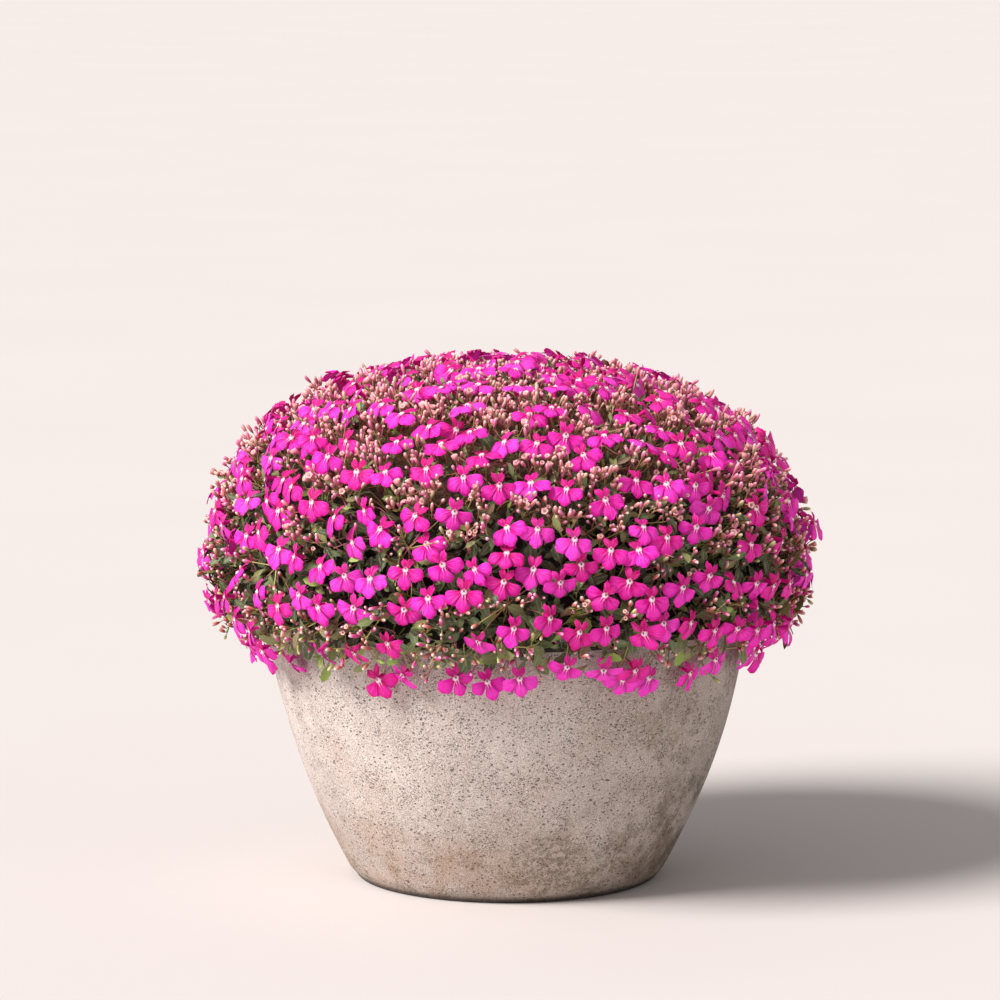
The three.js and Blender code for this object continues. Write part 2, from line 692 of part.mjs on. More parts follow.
// Whether points are outside the bowl and clear of every spray and of other leaves.
function isFree(points, sprays, leaves) {
  if (points.some((p) => p.z < BOWL_HEIGHT + RIM_GAP && Math.hypot(p.x, p.y) < RIM_RADIUS + RIM_GAP)) return false;
  if (points.some((p) => leaves.some((leaf) => leaf.some((q) => p.distanceTo(q) < LEAF_SPACING)))) return false;
  return sprays.every(({ head, root, flowers, buds }) => {
    if (head.distanceTo(points[0]) > NEIGHBOURS) return true;
    const thick = 2 * LEAF_GAP + NECK_RADIUS;
    const stalk = ROOT_SAMPLES.map((t) => head.clone().lerp(root, t));
    return points.every(
      (p) =>
        !stalk.some((q) => p.distanceTo(q) < HEAD_RADIUS + LEAF_GAP) &&
        !flowers.some((body) => inFace(body, p, LEAF_GAP, true) || body.stalk.some((q) => p.distanceTo(q) < thick)) &&
        !buds.some(({ samples }) => samples.some((q) => p.distanceTo(q) < BUD_RADIUS + LEAF_GAP)),
    );
  });
}

// Leaf j of shoot i at a try: its points, spread evenly round the shoot's head with a little stray.
function leafPose({ centre, head }, i, j, attempt) {
  const item = 10 * i + j + TRY * attempt;
  const share = (j + LEAF_STRAY * spread(item, 61)) / LEAVES_EACH;
  const turn = (draw(i, 60) + share) * 2 * Math.PI;
  const slope = LEAF_SLOPE + LEAF_SLOPE_RANGE * draw(item, 62);
  const along = centre.round
    .clone()
    .multiplyScalar(Math.cos(turn) * Math.cos(slope))
    .addScaledVector(centre.up, Math.sin(turn) * Math.cos(slope))
    .addScaledVector(centre.out, Math.sin(slope));
  const length = LEAF_LENGTH * (LEAF_SHORTEST + LEAF_RANGE * draw(item, 63));
  return leafPoints(head, along, centre.out, length);
}

// A leaf's points with more between them, from the shoot's head, the leaf's middle and its tip.
function leafSamples(head, points) {
  const towards = (from, t) => points.map((p) => from.clone().lerp(p, t));
  const [middle, tip] = [points.at(-1), points[LEAF_TIP]];
  const inner = [towards(head, 0.3), towards(head, 0.7), towards(middle, 0.5)];
  return [points, ...inner, towards(tip, 0.5), towards(tip, 0.75)].flat();
}

// Whether a shoot's head lies well inside one plant and beside no spray's root.
function hasRoom({ centre, plant, root }, sprays) {
  const step = 2 * SHOOT_HEAD;
  const round = [[step, 0], [-step, 0], [0, step], [0, -step]].map(([x, y]) => offset(centre, x, y, -SHOOT_DEPTH));
  const besideSpray = sprays.some((spray) => spray.root.distanceTo(root) < 4 * STALK_HOLE);
  return !besideSpray && round.every((point) => plantAt(point) === plant);
}

// Shoots with their heads close above the cores, and the leaves that found room round each.
function placeShoots(sprays) {
  const leaves = [];
  const shoots = series(SHOOTS, (i) => {
    const centre = sharedPlace(i, SHOOTS, 1);
    const head = offset(centre, 0, 0, -SHOOT_DEPTH);
    const root = offset(centre, 0, 0, -CORE_DEPTH - ROOT_DEPTH);
    const shoot = { centre, head, root, leaves: [], plant: plantAt(head) };
    if (!hasRoom(shoot, sprays)) return shoot;
    series(LEAVES_EACH, (j) => {
      const tries = series(LEAF_TRIES, (attempt) => leafPose(shoot, i, j, attempt));
      const found = tries.find((points) => isFree(leafSamples(head, points), sprays, leaves));
      if (found) shoot.leaves.push(found);
    });
    leaves.push(...shoot.leaves);
    return shoot;
  });
  return shoots.filter((shoot) => shoot.leaves.length >= LEAVES_LEAST);
}

function shootGeometry(shoot) {
  const arms = shoot.leaves.map((leaf) => ({ eye: leaf[LEAF_TIP], make: (...to) => makeLeaf(leaf, ...to) }));
  return cluster({ ...shoot, radius: SHOOT_HEAD, rise: SHOOT_HEAD / 2 }, arms);
}

// One plant: its core and main stem, with its leafy shoots fused on, and a hole for each spray's root.
function plantSolid(plant, dome, shoots, sprays) {
  const { x, y } = plantFeet()[plant];
  const stem = upright(hexagon(MAIN_STEM_RADIUS, x, y), MAIN_STEM_FOOT, CORE_BOTTOM + ROOT_DEPTH);
  let solid = dome.intersect(shareSolid(plant)).add(solidOf(stem));
  const own = shoots.filter((shoot) => shoot.plant === plant);
  for (const shoot of own) solid = solid.add(solidOf(shootGeometry(shoot)));
  for (const { head, root } of sprays) solid = solid.subtract(solidOf(stalkHole(head, root)));
  return solid;
}

// A four-sided pointed hole that a spray's root stands in with a clearance.
function stalkHole(head, root) {
  const axis = head.clone().sub(root).normalize();
  const side = vec(axis.y, -axis.x, 0.3).projectOnPlane(axis).setLength(3 * STALK_HOLE);
  const mouth = head.clone().lerp(root, -0.5);
  const corners = series(4, (k) => mouth.clone().add(side.clone().applyAxisAngle(axis, (k * Math.PI) / 2)));
  const point = root.clone().addScaledVector(axis, -3 * CLEARANCE);
  const faces = series(4, (k) => [4, (k + 1) % 4, k]);
  return meshOf([...corners, point], [...faces, [0, 1, 2], [0, 2, 3]]);
}

// The whole

const finish = (color, roughness) =>
  new THREE.MeshStandardMaterial({ color, roughness, metalness: 0, flatShading: true });

function add(group, name, geometry, material) {
  const mesh = new THREE.Mesh(geometry, material);
  mesh.name = name;
  group.add(mesh);
}

const lobelia = new THREE.Group();
const sprays = placeSprays();
const shoots = placeShoots(sprays);
const dome = coreDome();

add(lobelia, "stone_bowl", bowl(), finish("#b9ae9f", 0.95));
add(lobelia, "compost", compost(), finish("#2b211a", 1));
series(PLANTS_ROUND + 1, (plant) => {
  const solid = plantSolid(plant, dome, shoots, sprays);
  const name = plant === 0 ? "plant_middle" : `plant_round_${plant}`;
  add(lobelia, name, geometryFrom(solid), finish("#4c5c3a", 0.75));
});
sprays.forEach((each, i) => {
  add(lobelia, `flower_spray_${String(i + 1).padStart(2, "0")}`, sprayGeometry(each), finish("#e31ba0", 0.6));
});

export default lobelia;
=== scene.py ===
"""Edging lobelia in a cast stone bowl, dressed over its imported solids.

The bowl, the compost and the plants' dark middles are surfaces of revolution. Leaves, twigs, buds and blooms are
small forms worked out as whole arrays, placed evenly on a golden spiral over the dome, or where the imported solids
have theirs. Lengths are in millimetres until a mesh is made.
"""

import math

import bpy
import numpy as np
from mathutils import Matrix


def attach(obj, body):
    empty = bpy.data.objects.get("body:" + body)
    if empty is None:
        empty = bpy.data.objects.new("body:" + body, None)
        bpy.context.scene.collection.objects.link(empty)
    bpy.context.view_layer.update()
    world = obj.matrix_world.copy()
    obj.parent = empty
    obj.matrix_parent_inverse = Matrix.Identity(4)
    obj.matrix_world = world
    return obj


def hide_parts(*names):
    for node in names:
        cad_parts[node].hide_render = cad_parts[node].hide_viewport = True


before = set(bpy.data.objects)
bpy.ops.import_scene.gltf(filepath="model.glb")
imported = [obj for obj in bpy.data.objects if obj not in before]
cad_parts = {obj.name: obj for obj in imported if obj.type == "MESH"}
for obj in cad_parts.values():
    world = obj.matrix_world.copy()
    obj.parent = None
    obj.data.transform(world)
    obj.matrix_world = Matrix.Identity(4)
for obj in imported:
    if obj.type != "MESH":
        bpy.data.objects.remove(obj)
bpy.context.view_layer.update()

# The bowl
# A round planter, cast in one piece from pale stone dust and cement. Air bubbles and washed-out grit leave pits in
# its face, it has ochre stains and mossy patches, and it is darker towards the bottom. Painted shade darkens its
# right side, away from the sun, and the mossy and crumbly patches low on that side, and a painted contact shadow
# runs round its foot.

BOWL_HEIGHT = 138.0
RIM_RADIUS = 124.0
BELLY = (113.3, 61.6)
BASE_RADIUS = 77.6
BASE_ROUNDING = 3.0
FOOT_WIDTH = 14.0
FOOT_RISE = 3.0
WALL = 10.0
FLOOR = 14.0
LIP_ROUNDING = 2.5
LIP_INSET = 0.2
DRAIN_RADIUS = 11.0
DRAIN_CHAMFER = 1.0
FLOOR_CHAMFER = 5.0
SIDE_SPAN = (0.045, 0.975)
SIDE_ROWS = 44
INSIDE_SPAN = (0.94, 0.16)
INSIDE_ROWS = 16
BOWL_SIDES = 192
STONE_UNEVEN = 0.35


def linear(code):
    """A colour in linear light from its hexadecimal code, by the standard curve."""
    share = np.array([int(code[i : i + 2], 16) for i in (1, 3, 5)]) / 255
    light = np.where(share <= 0.04045, share / 12.92, ((share + 0.055) / 1.055) ** 2.4)
    return (*light.tolist(), 1.0)


class Wire:
    """A socket in a material. Arithmetic with it adds Math nodes."""

    def __init__(self, paint, socket):
        self.paint = paint
        self.socket = socket

    def __add__(self, other):
        return self.paint.maths("ADD", self, other)

    def __sub__(self, other):
        return self.paint.maths("SUBTRACT", self, other)

    def __rsub__(self, other):
        return self.paint.maths("SUBTRACT", other, self)

    def __mul__(self, other):
        return self.paint.maths("MULTIPLY", self, other)

    __radd__ = __add__
    __rmul__ = __mul__


class Paint:
    """The nodes of one material."""

    def __init__(self, name):
        self.material = bpy.data.materials.new(name)
        self.material.use_nodes = True
        self.tree = self.material.node_tree
        self.tree.nodes.clear()

    def node(self, kind, output, values, stops=(), **settings):
        """Adds a node of a kind with its settings and ramp stops, fills its sockets with links, numbers or codes of
        colours, and gives one output."""
        made = self.tree.nodes.new("ShaderNode" + kind)
        for name, value in settings.items():
            setattr(made, name, value)
        for k, (at, colour) in enumerate(stops):
            elements = made.color_ramp.elements
            element = elements[k] if k < 2 else elements.new(at)
            element.position = at
            element.color = linear(colour)
        for name, value in values.items():
            if isinstance(value, Wire):
                self.tree.links.new(value.socket, made.inputs[name])
            else:
                made.inputs[name].default_value = linear(value) if isinstance(value, str) else value
        return Wire(self, made.outputs[output])

    def maths(self, operation, *values):
        """One Math node's result."""
        return self.node("Math", 0, dict(enumerate(values)), operation=operation)

    def size(self, value):
        """A number without its sign."""
        return self.maths("ABSOLUTE", value)

    def mix(self, share, one, other):
        """The first colour where share is 0, and the second where it is 1."""
        return self.node("Mix", 2, {0: share, 6: one, 7: other}, data_type="RGBA")

    def laid(self, colour, *layers):
        """A colour with others laid over it in turn, each given by the share that it covers and itself."""
        for share, over in layers:
            colour = self.mix(share, colour, over)
        return colour

    def step(self, value, start, end):
        """A smooth step from 0 at start to 1 at end."""
        values = {"Value": value, "From Min": start, "From Max": end}
        return self.node("MapRange", 0, values, interpolation_type="SMOOTHSTEP")

    def ramp(self, value, *stops):
        """A colour between stops, each a place from 0 to 1 and a code."""
        return self.node("ValToRGB", 0, {"Fac": value}, stops=stops)

    def place(self):
        """The point of the surface, in metres."""
        return self.node("TexCoord", "Object", {})

    def axes(self, vector):
        """The X, Y and Z of a point."""
        first = self.node("SeparateXYZ", "X", {"Vector": vector})
        others = [Wire(self, first.socket.node.outputs[name]) for name in "YZ"]
        return first, *others

    def picture(self):
        """The X and Y of the surface's place in its own flat picture."""
        return self.axes(self.node("UVMap", 0, {}, uv_map="place"))[:2]

    def tone(self):
        """The random draw that each bloom, bud, leaf or stem carries."""
        return self.node("Attribute", "Fac", {}, attribute_name="tone")

    def noise(self, where, scale, detail=3.0, roughness=0.55):
        """Soft noise from 0 to 1."""
        values = {"Vector": where, "Scale": scale, "Detail": detail, "Roughness": roughness}
        return self.node("TexNoise", "Fac", values)

    def cells(self, where, scale):
        """How far each point is from the nearest of scattered points, in cells."""
        return self.node("TexVoronoi", "Distance", {"Vector": where, "Scale": scale})

    def bump(self, height, depth):
        """A normal from a height from 0 to 1 that stands for a depth in metres."""
        return self.node("Bump", 0, {"Height": height, "Distance": depth, "Strength": 1.0})

    def finish(self, colour, roughness, normal=None, glow=None, **plain):
        """Ends the material with its shader, and gives the material."""
        values = {"Base Color": colour, "Roughness": roughness, **plain}
        if normal is not None:
            values["Normal"] = normal
        if glow is not None:
            values["Emission Color"], values["Emission Strength"] = glow
        output = self.tree.nodes.new("ShaderNodeOutputMaterial")
        self.tree.links.new(self.node("BsdfPrincipled", 0, values).socket, output.inputs["Surface"])
        return self.material


def grid(rows, columns, closed=False):
    """Four-sided faces of a grid of points in rows. A closed grid's last column joins its first."""
    across = columns if closed else columns - 1
    row, column = np.meshgrid(np.arange(rows - 1), np.arange(across), indexing="ij")
    after = (column + 1) % columns
    low, high = row * columns, (row + 1) * columns
    return np.stack([low + column, low + after, high + after, high + column], -1).reshape(-1, 4)


def linked(name, data):
    """A new object with its data, in the scene."""
    made = bpy.data.objects.new(name, data)
    bpy.context.scene.collection.objects.link(made)
    return made


class Heap:
    """Points, faces, a material number for each face, and a picture place and a tone for each point."""

    def __init__(self):
        self.parts = []
        self.size = 0

    def add(self, points, faces, number=0, place=0.0, tone=0.0):
        """Adds a form. Its place and tone are spread over its points."""
        points = np.asarray(points, float).reshape(-1, 3)
        count = len(points)
        place, tone = np.broadcast_to(place, (count, 2)), np.broadcast_to(tone, count)
        self.parts.append((points, faces + self.size, np.full(len(faces), number), place, tone))
        self.size += count

    def piece(self, name, materials, replaces=()):
        """Makes the heap a piece that rides on the root body, with its place in its mesh."""
        points, faces, numbers, places, tones = (np.concatenate(part) for part in zip(*self.parts))
        mesh = bpy.data.meshes.new(name)
        mesh.vertices.add(len(points))
        mesh.vertices.foreach_set("co", (points / 1000).ravel())
        mesh.loops.add(faces.size)
        mesh.loops.foreach_set("vertex_index", faces.ravel())
        mesh.polygons.add(len(faces))
        mesh.polygons.foreach_set("loop_start", np.arange(len(faces)) * 4)
        mesh.polygons.foreach_set("material_index", numbers)
        mesh.polygons.foreach_set("use_smooth", np.ones(len(faces), bool))
        mesh.uv_layers.new(name="place").data.foreach_set("uv", places[faces.ravel()].ravel())
        mesh.attributes.new("tone", "FLOAT", "POINT").data.foreach_set("value", tones)
        mesh.update(calc_edges=True)
        mesh.validate()
        for material in materials:
            mesh.materials.append(material)
        made = linked(name, mesh)
        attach(made, "root")
        if replaces:
            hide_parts(*replaces)


def turned(profile, sides):
    """Points of a surface of revolution about Z, ring by ring, from rows of radius and height."""
    angle = np.arange(sides) * 2 * math.pi / sides
    ring = np.stack([np.cos(angle), np.sin(angle), np.ones(sides)], -1)
    profile = np.asarray(profile, float)
    return profile[:, None, [0, 0, 1]] * ring[None]


def arc(centre, radius, start, end, steps):
    """Points of an arc in the plane of radius and height, between two angles in degrees."""
    angle = np.radians(np.linspace(start, end, steps))
    return np.stack([centre[0] + radius * np.cos(angle), centre[1] + radius * np.sin(angle)], -1)


def bowl_side(share):
    """The bowl's outer side: a curve of the second degree from the base to the rim, bent by the belly."""
    share = np.asarray(share, float)[:, None]
    ends = (1 - share) ** 2 * [BASE_RADIUS, 0.0] + share**2 * [RIM_RADIUS, BOWL_HEIGHT]
    return ends + 2 * share * (1 - share) * BELLY


def bowl_profile():
    """The bowl's outline from the drain hole under the foot, up the outside and down the inside."""
    foot = BASE_RADIUS - BASE_ROUNDING
    inner = RIM_RADIUS - WALL
    under = [[DRAIN_RADIUS, FOOT_RISE], [foot - FOOT_WIDTH, FOOT_RISE], [foot - FOOT_WIDTH + FOOT_RISE, 0.0]]
    toe = arc((foot, BASE_ROUNDING), BASE_ROUNDING, -90, -20, 5)
    outside = bowl_side(np.linspace(*SIDE_SPAN, SIDE_ROWS))
    lip = arc((RIM_RADIUS - LIP_ROUNDING - LIP_INSET, BOWL_HEIGHT - LIP_ROUNDING), LIP_ROUNDING, 0, 90, 6)
    lip_in = arc((inner + LIP_ROUNDING, BOWL_HEIGHT - LIP_ROUNDING), LIP_ROUNDING, 90, 180, 6)
    inside = bowl_side(np.linspace(*INSIDE_SPAN, INSIDE_ROWS)) - [WALL, 0.0]
    drain = [[DRAIN_RADIUS + DRAIN_CHAMFER, FLOOR], [DRAIN_RADIUS, FLOOR - DRAIN_CHAMFER]]
    floor = [[inside[-1, 0] - FLOOR_CHAMFER, FLOOR], *drain]
    return np.vstack([under, toe, outside, lip, lip_in, inside, floor, under[:1]])


def stone():
    """Pale stone, mottled and pitted, with ochre and mossy stains that are worked out from soft noise, darker
    towards the bottom, and with painted shade on its right side, in the mossy and crumbly patches low there and in a
    contact shadow round the foot.
    """
    paint = Paint("cast_stone")
    place = paint.place()
    x, _, height = paint.axes(place)
    broad = paint.noise(place, 16.0, 4.0)
    warm = paint.noise(place, 23.0)
    fine = paint.noise(place, 260.0, 4.0, 0.7)
    grain = paint.noise(place, 1500.0, 3.0, 0.7)
    upright = paint.node("Mapping", 0, {"Vector": place, "Scale": (1.0, 1.0, 0.22)})
    streaks = paint.noise(upright, 85.0, 4.0, 0.7)
    squeeze = {"Vector": place, "Rotation": (0.5, 0.6, 0.2), "Scale": (1.0, 1.0, 1.5)}
    flattened = paint.node("Mapping", 0, squeeze)
    wobble = paint.noise(place, 220.0, 2.0)
    pit_size = paint.step(paint.noise(place, 110.0, 3.0, 0.6), 0.4, 0.75) * 0.22 + 0.17
    pit = 1.0 - paint.step(paint.cells(flattened, 1050.0) - pit_size + wobble * 0.14, 0.0, 0.14)
    big = 1.0 - paint.step(paint.cells(flattened, 340.0) + wobble * 0.34, 0.3, 0.38)
    some = paint.step(paint.noise(place, 52.0, 2.0), 0.48, 0.56)
    hole = (1.0 - paint.step(paint.cells(flattened, 170.0) + wobble * 0.2, 0.19, 0.23)) * some
    low = 1.0 - paint.step(height, 0.004, 0.085)
    left = 1.0 - paint.step(x, -0.04, 0.03)
    right = paint.step(x, 0.0, 0.1)
    rough = paint.step(paint.noise(place, 30.0, 4.0, 0.6), 0.46, 0.6) * paint.step(low + right * 0.8, 0.3, 1.0)
    crumbled = rough * paint.step(paint.noise(place, 380.0, 3.0, 0.65), 0.46, 0.64)
    moss = paint.step(paint.noise(place, 36.0, 6.0, 0.75), 0.42, 0.6) * right * paint.step(low, 0.0, 0.5)
    ochre = paint.step(paint.noise(place, 34.0), 0.34, 0.6) * paint.step(low, 0.4, 1.0)
    near_foot = 1.0 - paint.step(height + broad * 0.006, 0.003, 0.012)
    colour = paint.laid(
        paint.mix(paint.step(broad, 0.36, 0.66), "#bfb0a8", "#d9ccc5"),
        (paint.step(warm, 0.5, 0.74) * 0.35, "#c4a898"),
        (paint.step(grain, 0.5, 0.64) * 0.85, "#ebe2dc"),
        ((1.0 - paint.step(grain, 0.34, 0.48)) * 0.7, "#85776c"),
        (paint.step(fine, 0.52, 0.72) * 0.4, "#998c82"),
        (paint.step(streaks, 0.5, 0.72) * 0.3, "#eee5de"),
        (pit * 0.68, "#54483f"),
        (big * 0.72, "#4d4036"),
        (hole * 0.75, "#4a3d31"),
        # Brown dirt in the rough patches, and dark crumbly flecks in them that are partly painted shadow of the
        # crumbs.
        (rough * 0.16 + crumbled * 0.42, "#7f6847"),
        # Painted shade: the right side, turned away from the sun, is darker.
        (right * 0.28, "#7d705c"),
        # Mossy patches low on the right, partly real moss and partly painted shade of that side.
        (moss * 0.75, "#625644"),
        (low * 0.14, "#7f6d5e"),
        (ochre * (0.12 + 0.4 * left), "#ab8058"),
        # A darker band just above the foot.
        (near_foot * 0.5, "#75675a"),
        # Painted shadow: a dark contact line round the foot, where it meets the floor.
        ((1.0 - paint.step(height, 0.001, 0.0045)) * 0.85, "#352c25"),
    )
    relief = fine * 0.35 + grain * 0.15 - pit * 0.8 - big * 1.4 - hole * 1.6 - crumbled * 1.1
    return paint.finish(colour, 0.9 - fine * 0.1, normal=paint.bump(relief, 0.0007))


bowl = Heap()
bowl_points = turned(bowl_profile(), BOWL_SIDES)
around = np.arange(BOWL_SIDES) * 2 * math.pi / BOWL_SIDES
heights = bowl_points[:, :, 2]
uneven = np.sin(3 * around + heights / 30) + 0.6 * np.sin(7 * around - heights / 17) + 0.4 * np.sin(13 * around)
clear_of_ends = np.clip(heights / 20, 0, 1) * np.clip((BOWL_HEIGHT - heights) / 20, 0.25, 1)
bowl_points[:, :, :2] *= 1 + (STONE_UNEVEN * uneven * clear_of_ends / RIM_RADIUS)[:, :, None]
bowl.add(bowl_points, grid(len(bowl_points), BOWL_SIDES, closed=True))
bowl.piece("stone_bowl_dressed", [stone()], ["stone_bowl"])

# The compost
# Dark peat and bark crumbs fill the bowl to a little under its rim. Only its top could be seen, between stems.

COMPOST_LEVEL = 127.0
COMPOST_CROWN = 3.0
CLEARANCE = 0.4
CRUMB = 1.2
COMPOST_SIDES = 120
TOP_ROWS = 40
LUMPY_ROWS = TOP_ROWS - 2


def crumbs():
    """Crumbly dark brown, from noise at two sizes."""
    paint = Paint("compost_crumbs")
    place = paint.place()
    crumb = paint.noise(place, 190.0, 4.0, 0.7)
    bits = paint.cells(place, 260.0)
    colour = paint.mix(paint.step(crumb, 0.35, 0.7), "#1d1611", "#3f3024")
    colour = paint.mix((1.0 - paint.step(bits, 0.1, 0.24)) * 0.6, colour, "#6a543d")
    return paint.finish(colour, 0.95, normal=paint.bump(crumb + bits * 0.4, 0.002))


inside = bowl_side(np.linspace(0.16, 0.9, 10)) - [WALL + CLEARANCE, 0.0]
brim = inside[-1, 0] + 0.3
top = np.linspace(1.0, 0.0, TOP_ROWS)
top_rows = np.stack([brim * top, COMPOST_LEVEL + COMPOST_CROWN * (1 - top)], -1)
under = [[0.0, FLOOR + CLEARANCE], [inside[0, 0] - FLOOR_CHAMFER, FLOOR + CLEARANCE]]
compost_points = turned(np.vstack([under, inside, top_rows]), COMPOST_SIDES)
x, y, z = np.moveaxis(compost_points[-LUMPY_ROWS:], -1, 0)
z += CRUMB * np.sin(x * 0.61 + 1.3 * np.sin(y * 0.37)) * np.sin(y * 0.53 + 1.7 * np.sin(x * 0.29)) - CRUMB
compost = Heap()
compost.add(compost_points, grid(len(compost_points), COMPOST_SIDES, closed=True))
compost.piece("compost_dressed", [crumbs()], ["compost"])

# The flower sprays
# Each bloom is a thin magenta corolla: three broad lobes below, two narrow ones above, and a white raised eye with a
# dark speck. A tube runs back from it into a small green and rose cup on a thin stalk.

DOME_CENTRE = 157.0
DOME_RADIUS = 153.0
DOME_RISE = 107.0
DOME_FULLNESS = 0.05
SKIRT_DROP = 31.0
SKIRT_TUCK = 14.0
SKIRT_SHARE = 0.2
GOLDEN_ANGLE = math.pi * (3 - math.sqrt(5))
BLOOM_PICTURE = 26.0
LOBES = [(0.0, 8.4, 3.2, 0.45), (60.0, 8.0, 3.6, 0.0), (-60.0, 8.0, 3.6, 0.12)]
LOBE_ROWS = np.array([0.0, 0.24, 0.48, 0.7, 0.9, 1.0])
LOBE_WIDTHS = np.array([0.2, 0.54, 0.86, 1.0, 0.93, 0.58])
LOBE_COLUMNS = np.array([-1.0, -0.6, 0.0, 0.6, 1.0])
EARS = [(154.0, 5.3, 1.6, 0.1), (-154.0, 5.3, 1.6, 0.0)]
EAR_ROWS = np.array([0.0, 0.4, 0.8, 1.0])
EAR_WIDTHS = np.array([0.6, 0.95, 0.85, 0.3])
EAR_COLUMNS = np.array([-1.0, 0.0, 1.0])
THROAT = 1.1
TUBE_LENGTH = 5.6
TUBE_SIDES = 3
BUD_SIDES = 5
SPRAY_ROOM = 11.4
ROOM_BETWEEN = 13.2
OFFERS = 900
HEM_FREE = 146.0
KEPT_HEIGHTS = (200.0, 255.0)
KEPT_SHARES = (0.82, 0.5)
FRINGE_BLOOMS = 30
FRINGE_CLUSTERS = 13
FRINGE_STEP = 0.27
FRINGE_DROP = (-13.0, -4.0)
FRINGE_DEPTH = (-6.0, -1.0)
BLOOM_SIZES = (1.0, 1.16)
BLOOM_ROLL = 14.0
BLOOM_TILT = 16.0
CUP_SIZE = 3.4
BUD_SIZE = 5.0
STALK_RADII = (0.4, 0.28)
SOLID_LOBE = (11.43, 1.28)
SOLID_BUD = (3.5, 1.7)
BUD_ROWS = np.array([0.0, 0.25, 0.6, 0.88, 1.0])
BUD_SHUT = np.array([0.4, 0.85, 1.0, 0.8, 0.08])
CUP_OPEN = np.array([0.4, 0.95, 1.15, 0.8, 0.1])
CUP_HEIGHT = np.array([0.0, 0.28, 0.62, 0.6, 0.42])
chance = np.random.default_rng(41)


def layer(share):
    """Radius and height of the layer that the flowers open in. The share is 0 at the crown and 1 where the dome is
    widest, and the skirt falls from there: a quarter of an ellipse, fuller at its middle, then a parabola."""
    share = np.asarray(share, float)
    angle = np.minimum(share, 1) * math.pi / 2
    full = 1 + DOME_FULLNESS * np.sin(2 * angle) ** 2
    fall = np.clip(share - 1, 0, None) / SKIRT_SHARE
    radius = DOME_RADIUS * np.sin(angle) * full - SKIRT_TUCK * fall**2
    return radius, DOME_CENTRE + DOME_RISE * np.cos(angle) * full - SKIRT_DROP * fall


STEPS = np.linspace(0, 1 + SKIRT_SHARE, 601)
LAYER_RADIUS, LAYER_HEIGHT = layer(STEPS)
SLOPE = np.stack([np.gradient(LAYER_RADIUS), np.gradient(LAYER_HEIGHT)], -1)
SLOPE /= np.linalg.norm(SLOPE, axis=1)[:, None]
BANDS = (LAYER_RADIUS[1:] + LAYER_RADIUS[:-1]) * np.hypot(np.diff(LAYER_RADIUS), np.diff(LAYER_HEIGHT))
AREA = np.concatenate([[0.0], np.cumsum(BANDS)])


class Places:
    """Places on the layer: points, and the ways out of it, round it and up it."""

    def __init__(self, step, azimuth):
        step = np.clip(step, 0, len(STEPS) - 1).astype(int)
        self.step, self.azimuth = step, azimuth
        cos, sin, none = np.cos(azimuth), np.sin(azimuth), np.zeros_like(azimuth)
        self.radial = np.stack([cos, sin, none], -1)
        self.round = np.stack([-sin, cos, none], -1)
        self.out = self.radial * -SLOPE[step, 1][:, None]
        self.out[:, 2] = SLOPE[step, 0]
        self.up = np.cross(self.out, self.round)
        self.point = self.radial * LAYER_RADIUS[step][:, None]
        self.point[:, 2] = LAYER_HEIGHT[step]

    def moved(self, across, along, outward):
        """The points, moved round the layer, up it and out of it."""
        ways = zip((self.round, self.up, self.out), (across, along, outward))
        return self.point + sum(way * np.broadcast_to(far, len(way))[:, None] for way, far in ways)


def shared(count, turn):
    """Places that share the layer evenly on a golden spiral."""
    number = np.arange(count)
    return Places(np.searchsorted(AREA, (number + 0.5) / count * AREA[-1]), number * GOLDEN_ANGLE + turn)


def seat(points):
    """The places on the layer nearest to points."""
    radius = np.hypot(points[:, 0], points[:, 1])
    away = np.hypot(LAYER_RADIUS - radius[:, None], LAYER_HEIGHT - points[:, 2:3])
    return Places(away.argmin(1), np.arctan2(points[:, 1], points[:, 0]))


def unit(vectors):
    """Vectors shortened or stretched to a length of one."""
    return vectors / np.linalg.norm(vectors, axis=-1, keepdims=True)


def frames(along, out):
    """Turns for forms whose Y runs along a way and whose Z faces out, as arrays of three columns."""
    along = unit(along)
    across = unit(np.cross(along, out))
    return np.stack([across, along, np.cross(across, along)], -1)


def turned_to(turns, feet, forms):
    """Forms turned and set on their feet. Forms are one for all, or one for each."""
    each = np.broadcast_to(forms, (len(feet), *forms.shape[-2:]))
    return feet[:, None] + np.einsum("nij,npj->npi", turns, each)


def add_each(heap, number, points, faces, places, tones):
    """Adds forms with the same faces to a heap, each with its tone. Places are one for all, or one for each."""
    count, size = points.shape[:2]
    faces = (faces[None] + np.arange(count)[:, None, None] * size).reshape(-1, 4)
    places = np.broadcast_to(places, (count, size, 2)).reshape(-1, 2)
    heap.add(points, faces, number, places, np.repeat(tones, size))


def read_solid(node):
    """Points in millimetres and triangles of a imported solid, with equal points merged."""
    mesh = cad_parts[node].data
    flat = np.empty(3 * len(mesh.vertices))
    mesh.vertices.foreach_get("co", flat)
    corners = np.empty(3 * len(mesh.polygons), int)
    mesh.polygons.foreach_get("vertices", corners)
    points, merged = np.unique(np.round(flat.reshape(-1, 3) * 1000, 3), axis=0, return_inverse=True)
    return points, merged.reshape(-1)[corners].reshape(-1, 3)


def stars(points, triangles, count):
    """Each point that a count of triangles share, and the ways from it to its neighbours."""
    used = np.bincount(triangles.ravel(), minlength=len(points))
    for k in np.flatnonzero(used == count):
        near = np.unique(triangles[(triangles == k).any(1)])
        yield points[k], points[near[near != k]] - points[k]


